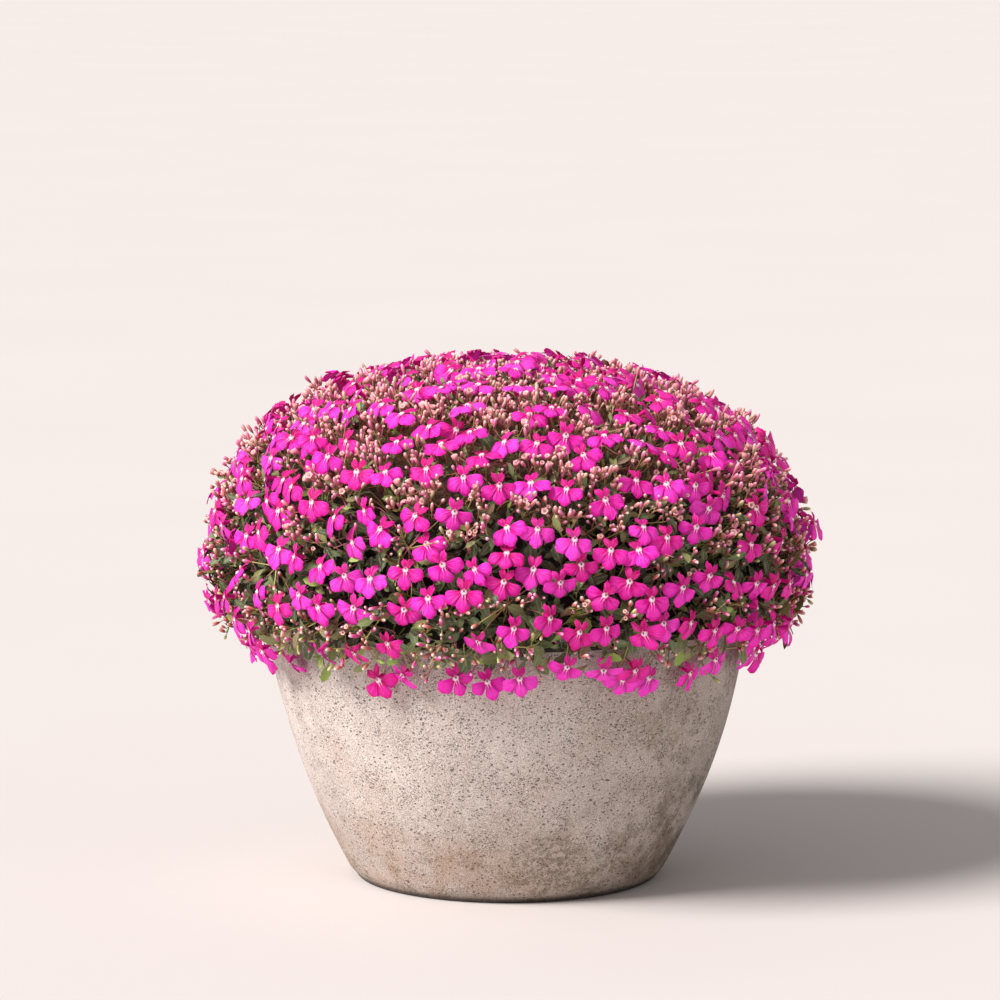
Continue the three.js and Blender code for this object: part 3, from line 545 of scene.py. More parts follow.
def solid_blooms(points, triangles):
    """Eyes and turns of the blooms of a spray's solid. An eye is in thirteen triangles, and the two furthest of its
    neighbours are the corners of the middle lobe, set back from the face by a known angle."""
    tilt = math.atan2(SOLID_LOBE[1], SOLID_LOBE[0])
    eyes, turns = [], []
    for eye, ring in stars(points, triangles, 13):
        corners = ring[np.argsort(np.linalg.norm(ring, axis=1))[-2:]]
        x = unit(corners[0] - corners[1])
        down = unit(corners.mean(0) - x * (corners.mean(0) @ x))
        x = x if np.cross(x, down) @ ring.mean(0) > 0 else -x
        z = -math.sin(tilt) * down - math.cos(tilt) * np.cross(x, down)
        eyes.append(eye)
        turns.append(np.stack([x, np.cross(z, x), z], -1))
    return np.array(eyes), np.array(turns)


def solid_buds(points, triangles):
    """Tips of the buds of a spray's solid: points in three triangles, each neighbour as far as a bud's belly."""
    belly = math.hypot(*SOLID_BUD)
    tips = []
    for tip, ring in stars(points, triangles, 3):
        if len(ring) == 3 and np.abs(np.linalg.norm(ring, axis=1) - belly).max() < 0.05:
            tips.append(tip)
    return np.array(tips).reshape(-1, 3)


def facing(places, lean, stray):
    """Turns of blooms on the layer that face out of it and lean away from the middle, with a random stray."""
    face = unit(places.out + lean * places.radial + chance.normal(0, stray, places.point.shape))
    sideways = chance.normal(0, 0.25, (len(face), 1)) * places.round
    right = unit(np.cross(places.up + sideways, face))
    return np.stack([right, np.cross(face, right), face], -1)


def strayed(turns, roll, tilt):
    """Turns with a random roll about their Z, and then a random tilt of their faces, of some degrees."""
    count = len(turns)
    way = np.radians(chance.normal(0, roll, count))[:, None]
    x = np.cos(way) * turns[:, :, 0] + np.sin(way) * turns[:, :, 1]
    face = np.radians(chance.normal(0, tilt, (2, count, 1)))
    z = unit(turns[:, :, 2] + face[0] * turns[:, :, 0] + face[1] * turns[:, :, 1])
    x = unit(x - z * (x * z).sum(1, keepdims=True))
    return np.stack([x, np.cross(z, x), z], -1)


def petal(angle, length, half, lift, rows, widths, columns, count):
    """One petal for each bloom: a strip u across and v along, as wide at v as widths say, with a rounded end, and
    turned to its angle from straight down. Its height is its lift and a sine over v, less a droop with v squared
    and a curl with u squared, plus a twist and a fold. Its picture place is the same petal's without any stray."""
    spread = chance.normal(0, 3.0, count)
    stretch = chance.uniform(0.94, 1.06, count)[:, None, None]
    droop = chance.uniform(0.0, 2.2, count)[:, None, None]
    curl = chance.uniform(-0.2, 0.9, count)[:, None, None]
    twist = chance.normal(0, 0.45, count)[:, None, None]
    fold = chance.uniform(-0.5, 1.1, count)[:, None, None]
    v, u = rows[:, None], columns[None]
    run = THROAT + length * (v - 0.2 * v**3 * u**4)
    side = u * half * widths[:, None]

    def turn(degrees):
        way = np.radians(degrees)[:, None, None]
        return run * np.sin(way) - side * np.cos(way), -run * np.cos(way) - side * np.sin(way)

    x, y = turn(angle + spread)
    grow = 1 + (stretch - 1) * v
    bend = lift + 0.5 * np.sin(v * math.pi) - droop * v**2 - curl * u**2 * v
    bend = bend + twist * u * v + fold * (np.abs(u) - 0.5) * v
    points = np.stack(np.broadcast_arrays(x * grow, y * grow, bend), -1)
    flat = np.stack(turn(np.array([float(angle)])), -1)[0]
    return points.reshape(count, -1, 3), grid(len(rows), len(columns)), flat.reshape(-1, 2)


def bloom_forms(count):
    """A number of blooms, each a little different: petals, an eye whose height is a product of two cosines, and a
    four-sided tube, as points, faces and picture places."""
    forms = [petal(*each, LOBE_ROWS, LOBE_WIDTHS, LOBE_COLUMNS, count) for each in LOBES]
    forms += [petal(*each, EAR_ROWS, EAR_WIDTHS, EAR_COLUMNS, count) for each in EARS]
    u, v = np.meshgrid(np.linspace(-1, 1, 3), np.linspace(-1, 1, 3))
    dome = 1.1 * np.cos(u * 1.35) * np.cos(v * 1.35) + 0.35
    eye = np.stack([1.3 * u, -0.5 + 1.5 * v, dome], -1).reshape(1, -1, 3)
    forms.append((np.repeat(eye, count, 0), grid(3, 3), eye[0, :, :2]))
    angle = np.arange(4) * math.pi / 2
    depth = np.array([0.15, -TUBE_LENGTH])[:, None]
    wide = np.array([1.35, 0.8])[:, None]
    tube = np.stack(np.broadcast_arrays(wide * np.cos(angle), wide * np.sin(angle), depth), -1)
    tube = np.repeat(tube.reshape(1, -1, 3), count, 0)
    forms.append((tube, grid(2, 4, closed=True)[:, ::-1], np.full((8, 2), 6.5)))
    sizes = np.cumsum([0] + [each[0].shape[1] for each in forms])
    points = np.concatenate([each[0] for each in forms], 1)
    faces = np.concatenate([each[1] + size for each, size in zip(forms, sizes)])
    places = np.concatenate([each[2] for each in forms])
    return points, faces, places / BLOOM_PICTURE + 0.5


def add_tubes(heap, number, paths, radii, tones):
    """Adds a tube along each path to a heap: at each of the path's steps, a circle of a radius across it."""
    along = unit(np.gradient(paths, axis=1))
    whole = unit(paths[:, -1] - paths[:, 0])
    guide = np.where(np.abs(whole[:, 2:3]) < 0.8, [0.0, 0.0, 1.0], [1.0, 0.0, 0.0])
    side = unit(np.cross(along, guide[:, None]))
    other = np.cross(along, side)
    angle = np.arange(TUBE_SIDES) * 2 * math.pi / TUBE_SIDES
    ring = np.cos(angle)[:, None] * side[:, :, None] + np.sin(angle)[:, None] * other[:, :, None]
    count, steps = paths.shape[:2]
    radii = np.broadcast_to(radii, (count, steps))
    points = (paths[:, :, None] + radii[:, :, None, None] * ring).reshape(count, steps * TUBE_SIDES, 3)
    faces = grid(steps, TUBE_SIDES, closed=True)
    add_each(heap, number, points, faces, 0.0, np.broadcast_to(tones, count))


def bends(start, middle, end, steps):
    """Curves of the second degree from start to end, drawn towards middle."""
    t = np.linspace(0, 1, steps)[None, :, None]
    start, middle, end = (each[:, None] for each in (start, middle, end))
    return (1 - t) ** 2 * start + 2 * t * (1 - t) * middle + t**2 * end


def bud_forms(is_open, slim):
    """Buds one unit long along Y, as rings as wide as slim says, each shut or an open cup. Their places are 1 in an
    open cup and 0 in a bud, and the share of the way along."""
    radii = np.where(is_open[:, None], CUP_OPEN, BUD_SHUT) * slim[:, None]
    height = np.where(is_open[:, None], CUP_HEIGHT, BUD_ROWS)
    angle = np.arange(BUD_SIDES) * 2 * math.pi / BUD_SIDES
    count, rows = radii.shape
    shape = (count, rows, BUD_SIDES)
    points = np.empty((*shape, 3))
    points[..., 0] = radii[..., None] * np.sin(angle)
    points[..., 1] = height[..., None]
    points[..., 2] = radii[..., None] * np.cos(angle)
    opened = np.broadcast_to(is_open[:, None, None], shape)
    places = np.stack([opened, np.broadcast_to(BUD_ROWS[:, None], shape)], -1)
    size = rows * BUD_SIDES
    return points.reshape(count, size, 3), grid(rows, BUD_SIDES, closed=True), places.reshape(count, size, 2)


def add_buds(heap, number, feet, along, size, is_open, tone):
    """Adds buds on their feet to a heap."""
    size = np.broadcast_to(size, len(feet))
    slim = np.where(is_open, 0.28, np.clip(0.38 - 0.04 * size, 0.14, 0.27) + 0.03 * chance.random(len(feet)))
    forms, faces, places = bud_forms(is_open, slim)
    guide = np.broadcast_to([0.31, 0.52, 0.79], feet.shape)
    points = turned_to(frames(along, guide), feet, forms * size[:, None, None])
    add_each(heap, number, points, faces, places, tone)


def petal_paint():
    """Hot magenta with fine veins along each petal, and a white eye that runs down the middle lobe in two pale
    lines. Painted shade makes the upper lobes darker and redder and darkens the throat and the seams between the
    lobes. Painted light puts a lighter lilac glow across each petal's middle, makes the petals glow a little and
    makes the eye glow more."""
    paint = Paint("lobelia_petal")
    x, y = ((along - 0.5) * BLOOM_PICTURE for along in paint.picture())
    tone = paint.tone()
    far = paint.maths("SQRT", x * x + y * y)
    angle = paint.maths("ARCTAN2", x, y)
    fine = paint.node("CombineXYZ", 0, {0: angle * 9.0, 1: far * 0.35, 2: tone * 40.0})
    vein = paint.noise(fine, 1.0, 2.0)
    broad = paint.node("CombineXYZ", 0, {0: angle * 14.0, 1: far * 0.2, 2: tone * 40.0 + 7.0})
    rays = paint.noise(broad, 1.0, 1.0)
    # Painted light: glow is a lighter lilac band across the middle of each petal.
    glow = paint.step(far, 2.5, 6.0) * (1.0 - paint.step(far, 7.0, 9.8) * 0.8)
    # Painted shade: darker where the side lobes meet the middle lobe's edges.
    off = paint.size(paint.size(paint.maths("ARCTAN2", x, -1.0 * y)) - 0.54)
    seam_shade = (1.0 - paint.step(off, 0.0, 0.22)) * paint.step(far, 1.5, 5.0)
    pale = paint.step(rays, 0.5, 0.72) * paint.step(far, 0.8, 2.0) * (1.0 - paint.step(far, 4.0, 9.5))
    lines = 1.0 - paint.step(paint.size(paint.size(x) - 0.6), 0.05, 0.32)
    lines = lines * (1.0 - paint.step(y, -1.2, -0.2))

    def spot(middle, squash, inner, outer):
        """1 in an oval about a point of the middle line, and 0 outside it."""
        off = y - middle
        return 1.0 - paint.step(paint.maths("SQRT", x * x * squash + off * off), inner, outer)

    white, speck = spot(-0.5, 0.65, 0.65, 1.4), spot(0.05, 1.2, 0.3, 0.75)
    colour = paint.laid(
        paint.ramp(tone, (0.0, "#dc027a"), (0.35, "#ea0494"), (0.7, "#ee08b0"), (1.0, "#f044c4")),
        (paint.step(vein, 0.42, 0.7) * 0.62, "#a80668"),
        (glow * (0.3 + 0.45 * tone), "#f640c8"),
        # Painted shade: the upper lobes are darker and redder, and the throat is darker.
        (paint.step(y, 0.4, 2.6) * 0.6, "#c00a62"),
        ((1.0 - paint.step(far, 1.6, 5.0)) * 0.5, "#b8086a"),
        (seam_shade * 0.4, "#a2055c"),
        (pale * 0.26, "#ff8ee2"),
        (lines * paint.step(y, -6.6, -2.4) * 0.5, "#ff90e4"),
        (lines * paint.step(y, -3.4, -2.2) * 0.7, "#ffe0ee"),
        (white * 0.88, "#f8e4ea"),
        (speck * 0.85, "#80283f"),
        (spot(1.0, 1.0, 0.15, 0.5) * 0.8, "#e9cf9c"),
    )
    relief = paint.bump(vein * 0.8 - seam_shade, 0.0009)
    # Painted light: each petal glows faintly with half its own colour, and the eye glows near white, standing in for
    # light through the thin petals.
    shine = paint.mix(white * (1.0 - speck), paint.mix(0.5, colour, "#000000"), "#ffe2ea")
    return paint.finish(colour, 0.45 + vein * 0.15, relief, (shine, 0.3), **{"Specular IOR Level": 0.16})


def stem_paint():
    """Brown green, redder in some stems and near the crown, with fine streaks."""
    paint = Paint("lobelia_stem")
    green = (0.0, "#5a5733"), (0.25, "#8c9442"), (0.5, "#c0b66c")
    streak = paint.noise(paint.place(), 700.0, 2.0)
    high = paint.step(paint.axes(paint.place())[2], 0.17, 0.23)
    colour = paint.laid(
        paint.ramp(paint.tone(), *green, (0.7, "#b87a68"), (1.0, "#ad4470")),
        (paint.step(streak, 0.45, 0.7) * 0.4, "#b2b27c"),
        (high * 0.35, "#cc7470"),
    )
    return paint.finish(colour, 0.5 + streak * 0.2, normal=paint.bump(streak, 0.0002))


def bud_paint():
    """Along a bud: green brown, rose, salmon, cream. Some are magenta and some still green, and all are painted
    paler near the crown, as the light that falls there. An open cup has a rose rim round a cream or dark middle."""
    paint = Paint("lobelia_bud")
    is_open, along = paint.picture()
    tone = paint.tone()
    mottle = paint.noise(paint.place(), 800.0, 3.0)
    fade = along + (mottle - 0.5) * 0.3
    ripe = (0.0, "#7d7a46"), (0.22, "#a04c40"), (0.5, "#c8625f"), (0.78, "#e29a90"), (1.0, "#fff0e2")
    bright = (0.0, "#8a4a48"), (0.3, "#b83c68"), (0.7, "#e64a9c"), (1.0, "#ffd6e4")
    green = (0.0, "#68783c"), (0.5, "#a3a65c"), (1.0, "#e0d2a4")
    cup = (0.0, "#6a6a3a"), (0.35, "#b45f54"), (0.62, "#e58490"), (0.88, "#ecc4b0"), (1.0, "#5d2a28")
    high = paint.step(paint.axes(paint.place())[2], 0.16, 0.24)
    colour = paint.laid(
        paint.ramp(fade, *ripe),
        (paint.step(tone, 0.58, 0.62), paint.ramp(fade, *bright)),
        (1.0 - paint.step(tone, 0.09, 0.12), paint.ramp(fade, *green)),
        (is_open, paint.ramp(along, *cup)),
        (paint.step(mottle, 0.55, 0.75) * 0.25, "#f4e2cf"),
        # Painted light: paler near the crown.
        (high * (0.15 + 0.35 * along), "#ffb8c6"),
    )
    return paint.finish(colour, 0.45 + mottle * 0.2, normal=paint.bump(mottle, 0.0003))


magenta = petal_paint()
stem_brown = stem_paint()
bud_rose = bud_paint()

sprays = [name for name in sorted(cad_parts) if name.startswith("flower_spray_")]
solids = [read_solid(name) for name in sprays]
heads = np.array([points[np.bincount(triangles.ravel()).argmax()] for points, triangles in solids])
eyes_of, turns_of = map(list, zip(*(solid_blooms(*solid) for solid in solids)))
eyes = np.concatenate(eyes_of)

# More blooms than the solids have stand beside theirs, others wherever a gap is wide, and some hang over the rim.
# Each joins the spray whose head is nearest.
seats = seat(eyes)
offers = []
for way in (-1, 1):
    across = chance.uniform(11.0, 16.0, len(eyes)) * way
    offers.append(seats.moved(across, chance.normal(0, 6.0, len(eyes)), 0.0))
offers = [seat(np.concatenate(offers)).point, shared(OFFERS, 1.1).point]
offers = [each[each[:, 2] > HEM_FREE] for each in offers]
rooms = np.repeat([SPRAY_ROOM, ROOM_BETWEEN], [len(each) for each in offers])
offers = np.concatenate(offers)
taken = eyes.copy()
for offer, room in zip(offers, rooms):
    is_free = np.linalg.norm(taken - offer, axis=1).min() > room
    if is_free and chance.random() < np.interp(offer[2], KEPT_HEIGHTS, KEPT_SHARES):
        taken = np.vstack([taken, offer])
added = seat(taken[len(eyes):])
added_eyes = added.moved(0.0, 0.0, chance.uniform(-3.5, 0.5, len(added.azimuth)))
added_turns = facing(added, 0.38, 0.13)
part = np.arange(FRINGE_BLOOMS) * FRINGE_CLUSTERS / FRINGE_BLOOMS
cluster = np.floor(part)
cluster_way = cluster + 0.6 * chance.random(FRINGE_CLUSTERS)[cluster.astype(int)]
fringe_way = 2 * math.pi * cluster_way / FRINGE_CLUSTERS + (part - cluster) * FRINGE_STEP
fringe = Places(np.full(FRINGE_BLOOMS, len(STEPS) - 1), fringe_way)
fringe_drop = chance.uniform(*FRINGE_DROP, FRINGE_BLOOMS)
fringe_eyes = fringe.moved(0.0, fringe_drop, chance.uniform(*FRINGE_DEPTH, FRINGE_BLOOMS))
added_eyes = np.concatenate([added_eyes, fringe_eyes])
added_turns = np.concatenate([added_turns, facing(fringe, 1.6, 0.2)])
nearest = np.linalg.norm(added_eyes[:, None] - heads, axis=2).argmin(1)
all_eyes = np.concatenate([eyes, added_eyes])
all_faces = np.concatenate([np.concatenate(turns_of), added_turns])[:, :, 2]

for k, name in enumerate(sprays):
    eyes = np.concatenate([eyes_of[k], added_eyes[nearest == k]])
    turns = strayed(np.concatenate([turns_of[k], added_turns[nearest == k]]), BLOOM_ROLL, BLOOM_TILT)
    count = len(eyes)
    heap = Heap()
    forms, faces, places = bloom_forms(count)
    size = chance.uniform(*BLOOM_SIZES, count)
    blooms = turned_to(turns, eyes, forms * size[:, None, None])
    add_each(heap, 0, blooms, faces, places, chance.random(count))
    back = -turns[:, :, 2]
    cup = eyes + back * ((TUBE_LENGTH + 1.0) * size)[:, None]
    add_buds(heap, 2, cup, -back, CUP_SIZE, np.ones(count, bool), chance.random(count))
    root = np.repeat(heads[k][None], count, 0)
    stalks = bends(root, cup + back * 6.0, cup - back * 0.3, 6)
    add_tubes(heap, 1, stalks, np.linspace(*STALK_RADII, 6), 0.5 * chance.random(count) + 0.5)
    tips = solid_buds(*solids[k])
    if len(tips):
        way = unit(tips - heads[k])
        feet = tips - way * BUD_SIZE
        add_buds(heap, 2, feet, way, BUD_SIZE, np.zeros(len(tips), bool), chance.random(len(tips)))
        root = np.repeat(heads[k][None], len(tips), 0)
        add_tubes(heap, 1, bends(root, (root + feet) / 2, feet, 4), np.linspace(0.4, 0.3, 4), 0.5)
    heap.piece(name.replace("flower_spray", "blooms"), [magenta, stem_brown, bud_rose], [name])

# The plants' middles and leaves
# Seven plants grow into one dome. Behind the blooms it is a thicket of thin stems and small toothed leaves, almost
# black inside, where a near-black sheet stands in as painted shade. Its leaves are darker and greyer than the fresh
# tips that hang over the rim.

MIDDLE_PLANT = 52.0
PLANTS_ROUND = 6
PLANTS = ["plant_middle"] + [f"plant_round_{k + 1}" for k in range(PLANTS_ROUND)]
CORE_DEPTH = 24.0
CORE_LUMP = 3.0
CORE_SIDES = 150
CORE_HEM = 141.0
CORE_FOOT = [[129.0, 137.0], [126.0, 134.5], [125.5, 138.8], [110.0, 140.0], [0.0, 140.0]]
LEAVES = 10400
LEAF_DEPTHS = (22.0, 19.0)
LEAF_SIZES = (6.5, 14.5)
LEAF_SLIMMER = 0.35
LEAF_HEM = 139.0
SPRIGS = 32
SPRIG_LEAVES = 7
SPRIG_SIZES = (5.0, 8.5)
CLEAR_OF_EYE = 9.3
CLEAR_BEHIND = 3.0
CLEAR_AHEAD = 30.0
OVER_RIM = RIM_RADIUS + 3


def plant_of(points):
    """The number of the plant whose share of the dome each point is in: 0 in a hexagon, or 1 to 6 round it."""
    way = (np.arange(PLANTS_ROUND) + 0.5) * 2 * math.pi / PLANTS_ROUND
    ways = np.stack([np.cos(way), np.sin(way)])
    inside = (points[:, :2] @ ways).max(1) < MIDDLE_PLANT * math.cos(math.pi / PLANTS_ROUND)
    azimuth = np.arctan2(points[:, 1], points[:, 0]) % (2 * math.pi)
    sixth = np.floor(azimuth / (2 * math.pi) * PLANTS_ROUND).astype(int) % PLANTS_ROUND
    return np.where(inside, 0, 1 + sixth)


def hides_bloom(points):
    """Whether each point stands in front of a bloom's face, or so little behind it that it pokes through."""
    apart = points[:, None] - all_eyes
    front = np.einsum("nmi,mi->nm", apart, all_faces)
    aside = np.sqrt(np.maximum((apart**2).sum(2) - front**2, 0))
    return ((aside < CLEAR_OF_EYE) & (front > -CLEAR_BEHIND) & (front < CLEAR_AHEAD)).any(1)


def stands_free(feet, hem):
    """Whether each foot is above the hem of the plants or outside the rim."""
    return (feet[:, 2] > hem) | (np.hypot(feet[:, 0], feet[:, 1]) > OVER_RIM)


def upper_share(height):
    """0 up to a height of 170, and from there evenly to 1 at 230 and above."""
    return np.clip((height - 170) / 60, 0, 1)


def leaf_form():
    """A leaf one unit long, three points across: a spoon shape with a tooth on each side. Its edges rise evenly from
    its rib, and it bends back with the square of the way along."""
    along = np.array([0.0, 0.2, 0.42, 0.6, 0.7, 0.86, 1.0])
    half = np.array([0.02, 0.03, 0.15, 0.21, 0.175, 0.15, 0.01])
    across = np.array([-1.0, 0.0, 1.0])
    points = np.zeros((len(along), 3, 3))
    points[:, :, 0] = half[:, None] * across
    points[:, :, 1] = along[:, None]
    points[:, :, 2] = 0.3 * np.abs(across) * half[:, None] - 0.22 * (along[:, None] - 0.4) ** 2
    places = np.stack([np.broadcast_to(across, (len(along), 3)), np.repeat(along[:, None], 3, 1)], -1)
    return points.reshape(-1, 3), grid(len(along), 3), places.reshape(-1, 2)


def leaf_paint():
    """Grey green, lighter on the rib and in some leaves, bronze in a few, and yellow green in fresh ones."""
    paint = Paint("lobelia_leaf")
    across, along = paint.picture()
    old = (0.0, "#29261a"), (0.35, "#464a2d"), (0.62, "#64764a"), (0.76, "#8a8a52")
    fresh = (0.86, "#7a5442"), (0.9, "#7f9a40"), (1.0, "#aac258")
    mottle = paint.noise(paint.place(), 330.0)
    away = paint.size(across)
    colour = paint.laid(
        paint.ramp(paint.tone(), *old, *fresh),
        (paint.step(mottle, 0.4, 0.75) * 0.35, "#8b9a72"),
        ((1.0 - paint.step(away, 0.04, 0.22)) * 0.4, "#a2ae82"),
        (paint.step(away, 0.78, 1.0) * paint.step(mottle, 0.4, 0.6) * 0.45, "#9aa46c"),
    )
    veins = paint.maths("SINE", along * 40.0 + away * 9.0)
    return paint.finish(colour, 0.45 + mottle * 0.2, normal=paint.bump(veins * 0.15 + mottle, 0.0003))


def core_paint():
    """Painted shade: near black for the shade in the thicket's depth, with dim brown where stems cross in it, and
    painted light near the crown, lighter and pinker.
    """
    paint = Paint("thicket_painted_shade")
    place = paint.place()
    tangle = paint.noise(place, 140.0, 5.0, 0.75)
    high = paint.step(paint.axes(place)[2], 0.19, 0.235)
    colour = paint.mix(paint.step(tangle, 0.4, 0.75), "#150d08", "#38291a")
    light = paint.mix(paint.step(tangle, 0.4, 0.7), "#574630", "#b0706a")
    # Painted light: lighter and pinker near the crown.
    colour = paint.mix(high, colour, light)
    return paint.finish(colour, 0.9, normal=paint.bump(tangle, 0.004))


leaf_green = leaf_paint()
thicket_shade = core_paint()

# The middle, a sheet of painted shade, is CORE_DEPTH under the layer, in lumps, and closes over the rim and the
# compost.
core_share = np.concatenate([np.linspace(0.0, 1.0, 46), [1.04, 1.08]])
core_radius, core_height = layer(core_share)
core_way = [np.interp(core_share, STEPS, way) for way in (-SLOPE[:, 1], SLOPE[:, 0])]
core_way = np.stack(core_way, -1)
core_way[0] = [0.0, 1.0]
core_rows = np.stack([core_radius, core_height], -1) - CORE_DEPTH * core_way
core_rows = np.vstack([core_rows[core_rows[:, 1] > CORE_HEM], CORE_FOOT])
core_points = turned(core_rows, CORE_SIDES)
core_angle = np.arange(CORE_SIDES) * 2 * math.pi / CORE_SIDES
core_z = core_points[:, :, 2]
core_lumps = np.sin(9 * core_angle + core_z / 7) * np.cos(core_z / 9 + 5 * core_angle)
core_lumps = core_lumps + 0.5 * np.sin(23 * core_angle)
lumpy = np.clip((core_z - 140) / 12, 0, 1) * CORE_LUMP * core_lumps / 120
core_points[:, :, :2] *= 1 + lumpy[:, :, None]
core_faces = grid(len(core_rows), CORE_SIDES, closed=True)[:, ::-1]
core_flat = core_points.reshape(-1, 3)
core_plant = plant_of(core_flat[core_faces].mean(1))

# Small leaves fill the thicket from the middle out, and lean out of it.
leaf_points, leaf_faces, leaf_places = leaf_form()
spread_out = shared(LEAVES, 0.4)
depth = LEAF_DEPTHS[0] - LEAF_DEPTHS[1] * chance.random(LEAVES) ** 1.15
jitter = chance.normal(0, 4.0, (2, LEAVES))
leaf_feet = spread_out.moved(jitter[0], jitter[1], -depth)
leaf_turn = chance.random(LEAVES) * 2 * math.pi
lean = chance.uniform(0.15, 1.1, LEAVES)
flat_way = spread_out.round * np.cos(leaf_turn)[:, None] + spread_out.up * np.sin(leaf_turn)[:, None]
leaf_along = flat_way + spread_out.out * lean[:, None] + [0, 0, 0.15]
leaf_out = spread_out.out + chance.normal(0, 0.35, (LEAVES, 3))
upper = upper_share(spread_out.point[:, 2])
leaf_size = chance.uniform(*LEAF_SIZES, LEAVES) * (1 - LEAF_SLIMMER * upper)
hem_share = np.clip((STEPS[spread_out.step] - 1.0) / SKIRT_SHARE, 0, 1)
# Painted shade: leaves deeper in the thicket are darker. They are also lighter towards the crown.
leaf_tone = np.clip(chance.random(LEAVES) * 0.86 - 0.014 * (depth - 8) + 0.16 * upper, 0.0, 0.86)
fresh = chance.random(LEAVES) < 0.07 + 0.6 * hem_share + 0.3 * upper
leaf_tone = np.where(fresh, chance.uniform(0.6, 1.0, LEAVES), leaf_tone)
slim = np.stack([1 - LEAF_SLIMMER * upper, np.ones(LEAVES), np.ones(LEAVES)], -1)[:, None] * leaf_points
all_leaves = turned_to(frames(leaf_along, leaf_out), leaf_feet, leaf_size[:, None, None] * slim)

# Fresh sprigs of narrow leaves hang over the rim.
sprig = Places(np.full(SPRIGS, len(STEPS) - 1), np.arange(SPRIGS) * GOLDEN_ANGLE + 0.9)
sprig_drop = chance.uniform(-11.0, 4.0, SPRIGS)
sprig_foot = sprig.moved(0.0, sprig_drop, chance.uniform(-9.0, -3.0, SPRIGS))
sprig_top = sprig.moved(0.0, 13.0, -9.0)
sprig_turn = np.linspace(-1.2, 1.2, SPRIG_LEAVES) + chance.normal(0, 0.2, (SPRIGS, SPRIG_LEAVES))
sprig_along = np.sin(sprig_turn)[..., None] * sprig.round[:, None] - np.cos(sprig_turn)[..., None] * [0, 0, 1]
sprig_along = (sprig_along + 0.45 * sprig.radial[:, None]).reshape(-1, 3)
sprig_out = np.repeat(sprig.radial, SPRIG_LEAVES, 0) + chance.normal(0, 0.3, (SPRIGS * SPRIG_LEAVES, 3))
sprig_feet = np.repeat(sprig_foot, SPRIG_LEAVES, 0)
sprig_form = chance.uniform(*SPRIG_SIZES, (SPRIGS * SPRIG_LEAVES, 1, 1)) * leaf_points * [0.6, 1.0, 1.0]
sprig_leaves = turned_to(frames(sprig_along, sprig_out), sprig_feet, sprig_form)
all_leaves = np.concatenate([all_leaves, sprig_leaves])
leaf_feet = np.concatenate([leaf_feet, sprig_feet])
leaf_tone = np.concatenate([leaf_tone, chance.uniform(0.84, 1.0, len(sprig_feet))])

kept = stands_free(leaf_feet, LEAF_HEM)
kept &= ~hides_bloom(all_leaves[:, -2]) & ~hides_bloom(all_leaves[:, 10])
leaf_plant = np.where(kept, plant_of(leaf_feet), -1)


def solid_leaves(node):
    """Foot, way along and way out of each leaf of a plant's solid. A leaf's upper middle is in twelve triangles, its
    lower middle, right under it, is in eleven, and its three furthest neighbours are its foot."""
    solid = read_solid(node)
    lower = np.array([point for point, _ in stars(*solid, 11)])
    found = []
    for middle, ring in stars(*solid, 12):
        under = lower[np.linalg.norm(lower - middle, axis=1) < 1.5]
        if len(under):
            foot = middle + ring[np.argsort(np.linalg.norm(ring, axis=1))[-3:]].mean(0)
            found.append([foot, middle - foot, middle - under[0]])
    return np.array(found)


for k, plant in enumerate(PLANTS):
    heap = Heap()
    numbers, own = np.unique(core_faces[core_plant == k], return_inverse=True)
    heap.add(core_flat[numbers], own.reshape(-1, 4), 0)
    here = leaf_plant == k
    add_each(heap, 1, all_leaves[here], leaf_faces, leaf_places, leaf_tone[here])
    feet, along, out = solid_leaves(plant).swapaxes(0, 1)
    size = 1.5 * np.linalg.norm(along, axis=1)
    big = turned_to(frames(along, out), feet, size[:, None, None] * leaf_points)
    add_each(heap, 1, big, leaf_faces, leaf_places, 0.2 + 0.6 * chance.random(len(feet)))
    heap.piece(f"{plant}_leaves", [thicket_shade, leaf_green], [plant])

# Twigs and buds
# Thin wiry stems, brown green and reddish, end in a few buds each. A bud is a small green and rose cup on a short
# stalk, and holds a furled corolla, salmon to cream at its tip. A few cups have dropped it and stand open.

TWIGS = 5200
BUDS_EACH = 4
TWIG_STEPS = 5
STALK_STEPS = 3
TWIG_RADII = (0.5, 0.28)
TWIG_DEPTH = 23.0
TWIG_REACH = (-6.5, 2.0)
TWIG_HEM = 138.5
BUD_PLACES = np.array([1.0, 0.88, 0.78, 0.66])
BUD_STALKS = (1.5, 6.5)
END_STALK = 0.4
STALK_RADIUS = 0.26
SPRIG_RADIUS = 0.35
FURTHEST = 160.0
HIGHEST = 264.0

twig = shared(TWIGS, 2.1)
wander = chance.normal(0, 5.0, (2, TWIGS))
twig_foot = twig.moved(wander[0], wander[1], -TWIG_DEPTH)
sway = chance.normal(0, 8.0, (2, TWIGS))
crown = 1 - np.clip(STEPS[twig.step] / 0.5, 0, 1)
reach = chance.uniform(*TWIG_REACH, TWIGS) - 4.0 * crown**0.5
twig_tip = twig.moved(wander[0] + sway[0], wander[1] + sway[1], reach)
twig_middle = (twig_foot + twig_tip) / 2 + chance.normal(0, 4.0, (TWIGS, 3))
twig_path = bends(twig_foot, twig_middle, twig_tip, TWIG_STEPS)
fits = stands_free(twig_foot, TWIG_HEM)
fits &= chance.random(TWIGS) < 0.5 + 0.5 * np.clip((twig_tip[:, 2] - 165) / 50, 0, 1)
fits &= ~hides_bloom(twig_tip) & (np.hypot(twig_tip[:, 0], twig_tip[:, 1]) < FURTHEST - 3)
twig_plant = np.where(fits, plant_of(twig_foot), -1)
twig_tone = chance.random(TWIGS)
bud_turn = chance.random(TWIGS)[:, None] * 2 * math.pi + np.arange(BUDS_EACH) * 2.4
